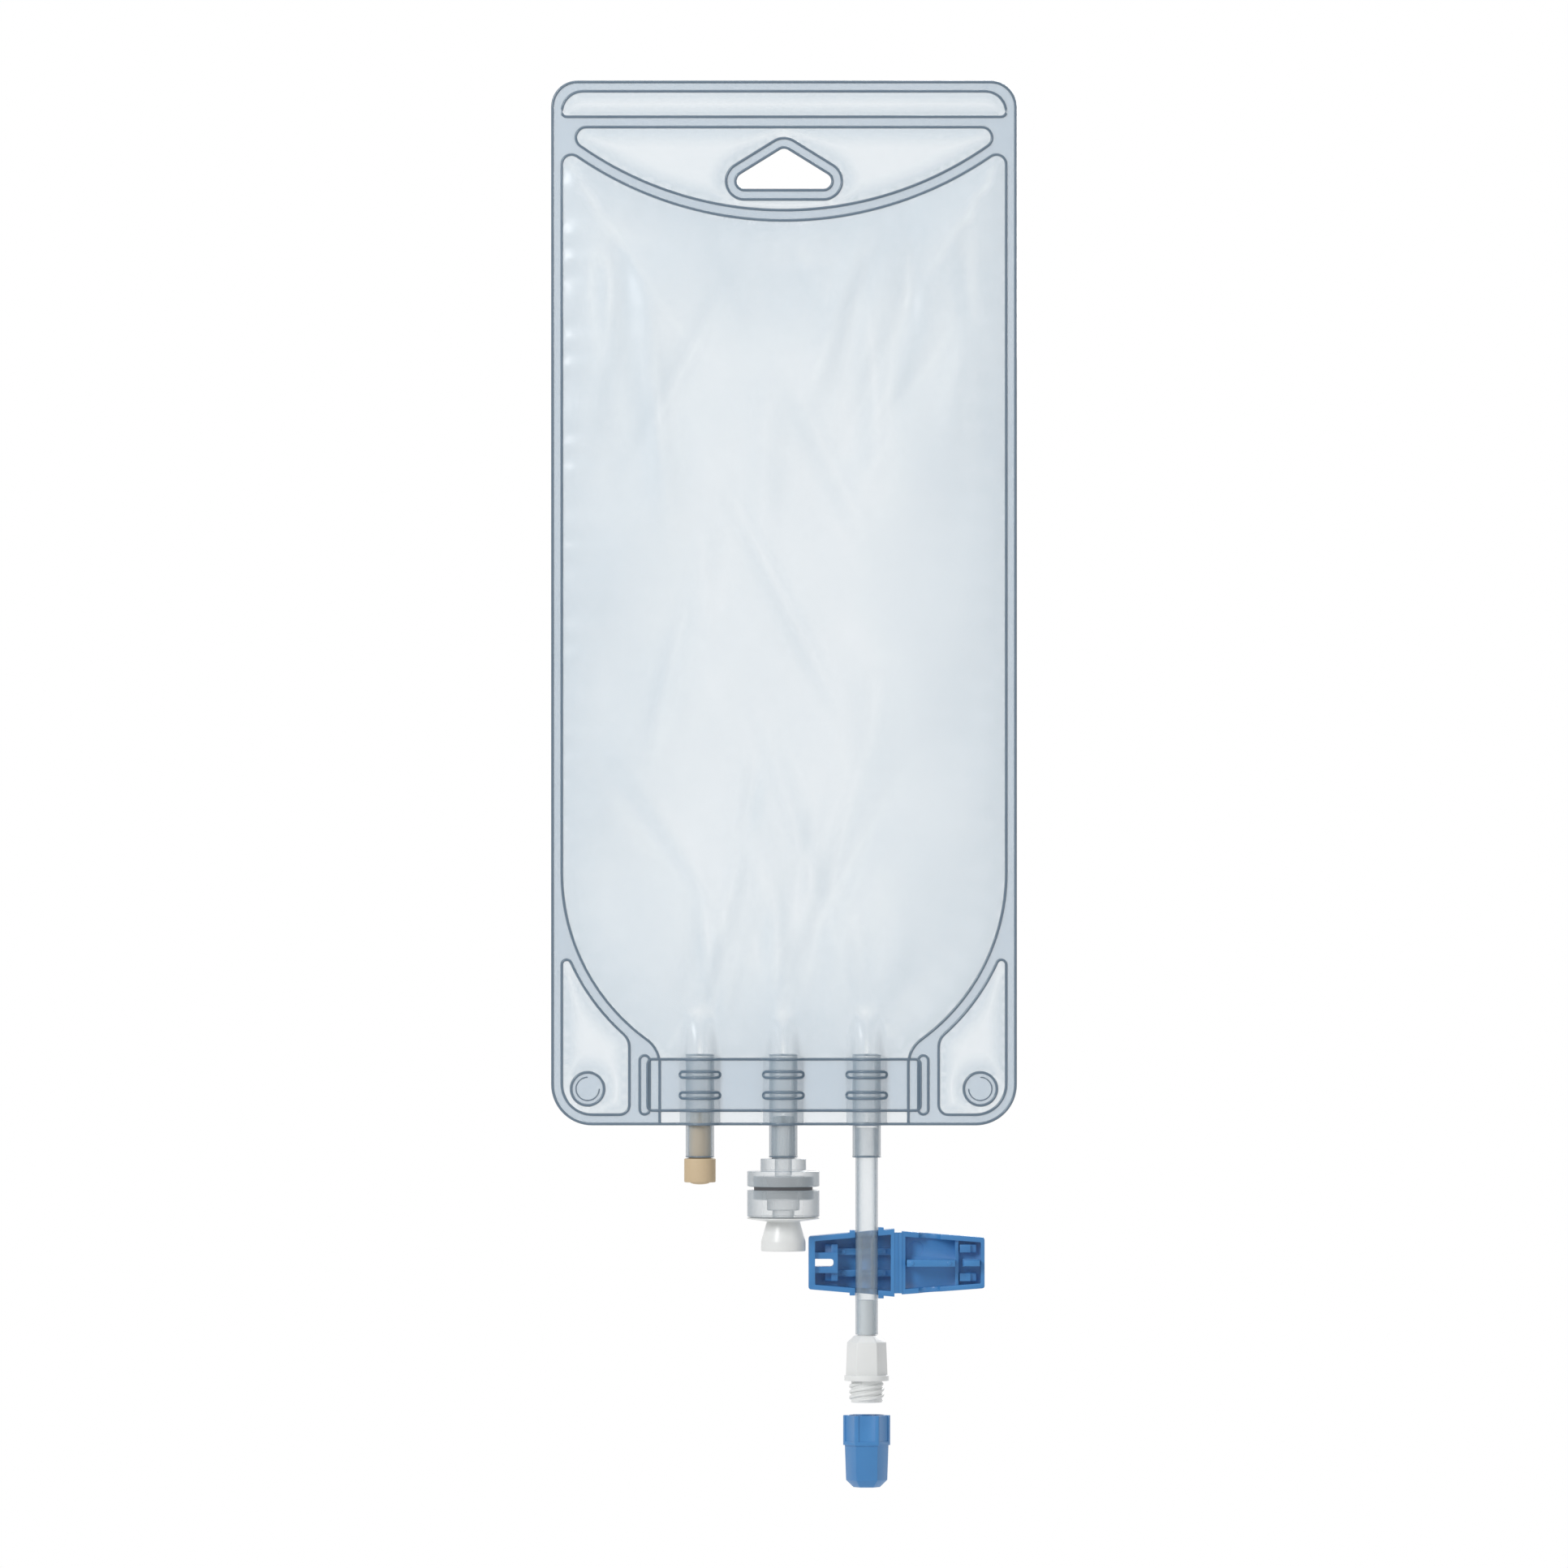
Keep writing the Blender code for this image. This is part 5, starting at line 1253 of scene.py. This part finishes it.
stage = {
    "floorDrop": 0.060, "floorRadius": 0.34, "floorSides": 96,
    "floorColour": (0.94, 0.94, 0.94, 1.0), "worldGlow": 0.34, "aim": (0.0, 0.0, -0.18),
}
lamps = {
    "key": {"place": (-0.75, -0.95, 0.35), "size": (0.38, 0.56), "power": 9.5},
    "fill": {"place": (0.95, -0.75, -0.05), "size": (0.35, 0.9), "power": 1.4},
    "rim": {"place": (0.35, 0.95, 0.25), "size": (0.6, 0.6), "power": 6.5},
    "top": {"place": (0.0, -0.1, 0.8), "size": (0.7, 0.3), "power": 2.0},
}
view = {
    "frameWidth": 0.4552, "middle": (0.0, 0.0, -0.1845), "away": 4.0, "sensor": 36.0, "clip": 20.0,
}


def floorPiece():
    corners = around(0, stage["floorRadius"], cadLow.z - stage["floorDrop"], stage["floorSides"])
    plain = {"Base Color": stage["floorColour"], "Roughness": 0.9, "Specular IOR Level": 0.1}
    paint = Finish("floor", plain).material
    meshObject("floor", corners, [], [range(len(corners))], paint)


def areaLight(name, lamp):
    data = bpy.data.lights.new(name, "AREA")
    data.shape = "RECTANGLE"
    data.size, data.size_y = lamp["size"]
    data.energy = lamp["power"]
    thing = placed(name, data)
    thing.location = lamp["place"]
    aim = Vector(stage["aim"]) - Vector(lamp["place"])
    thing.rotation_euler = aim.to_track_quat("-Z", "Y").to_euler()


def skyGlow():
    # White where it is seen, in clear and shiny pieces too, and a weaker glow on what it lights.
    world = scene.world = bpy.data.worlds.new("studio")
    world.use_nodes = True
    tree = world.node_tree
    path = tree.nodes.new("ShaderNodeLightPath")
    seen = Wire(tree, path.outputs["Is Camera Ray"])
    for ray in ("Is Glossy Ray", "Is Transmission Ray"):
        seen = seen.maths("MAXIMUM", seen, Wire(tree, path.outputs[ray]))
    sockets = {"Value": seen, "To Min": stage["worldGlow"], "To Max": 1.0}
    ground = tree.nodes["Background"]
    plug(tree, ground.inputs["Strength"], addNode(tree, "ShaderNodeMapRange", None, sockets))
    plug(tree, ground.inputs["Color"], (1.0, 1.0, 1.0, 1.0))


def cameraFront():
    data = bpy.data.cameras.new("camera")
    data.sensor_width = view["sensor"]
    data.lens = view["sensor"] * view["away"] / view["frameWidth"]
    data.clip_end = view["clip"]
    camera = scene.camera = placed("camera", data)
    x, y, z = view["middle"]
    camera.location = (x, y - view["away"], z)
    camera.rotation_euler = Euler((math.pi / 2, 0, 0))


floorPiece()
skyGlow()
for lampName, lamp in lamps.items():
    areaLight(lampName, lamp)
cameraFront()
scene.view_settings.view_transform = "Standard"
print("stage ready")
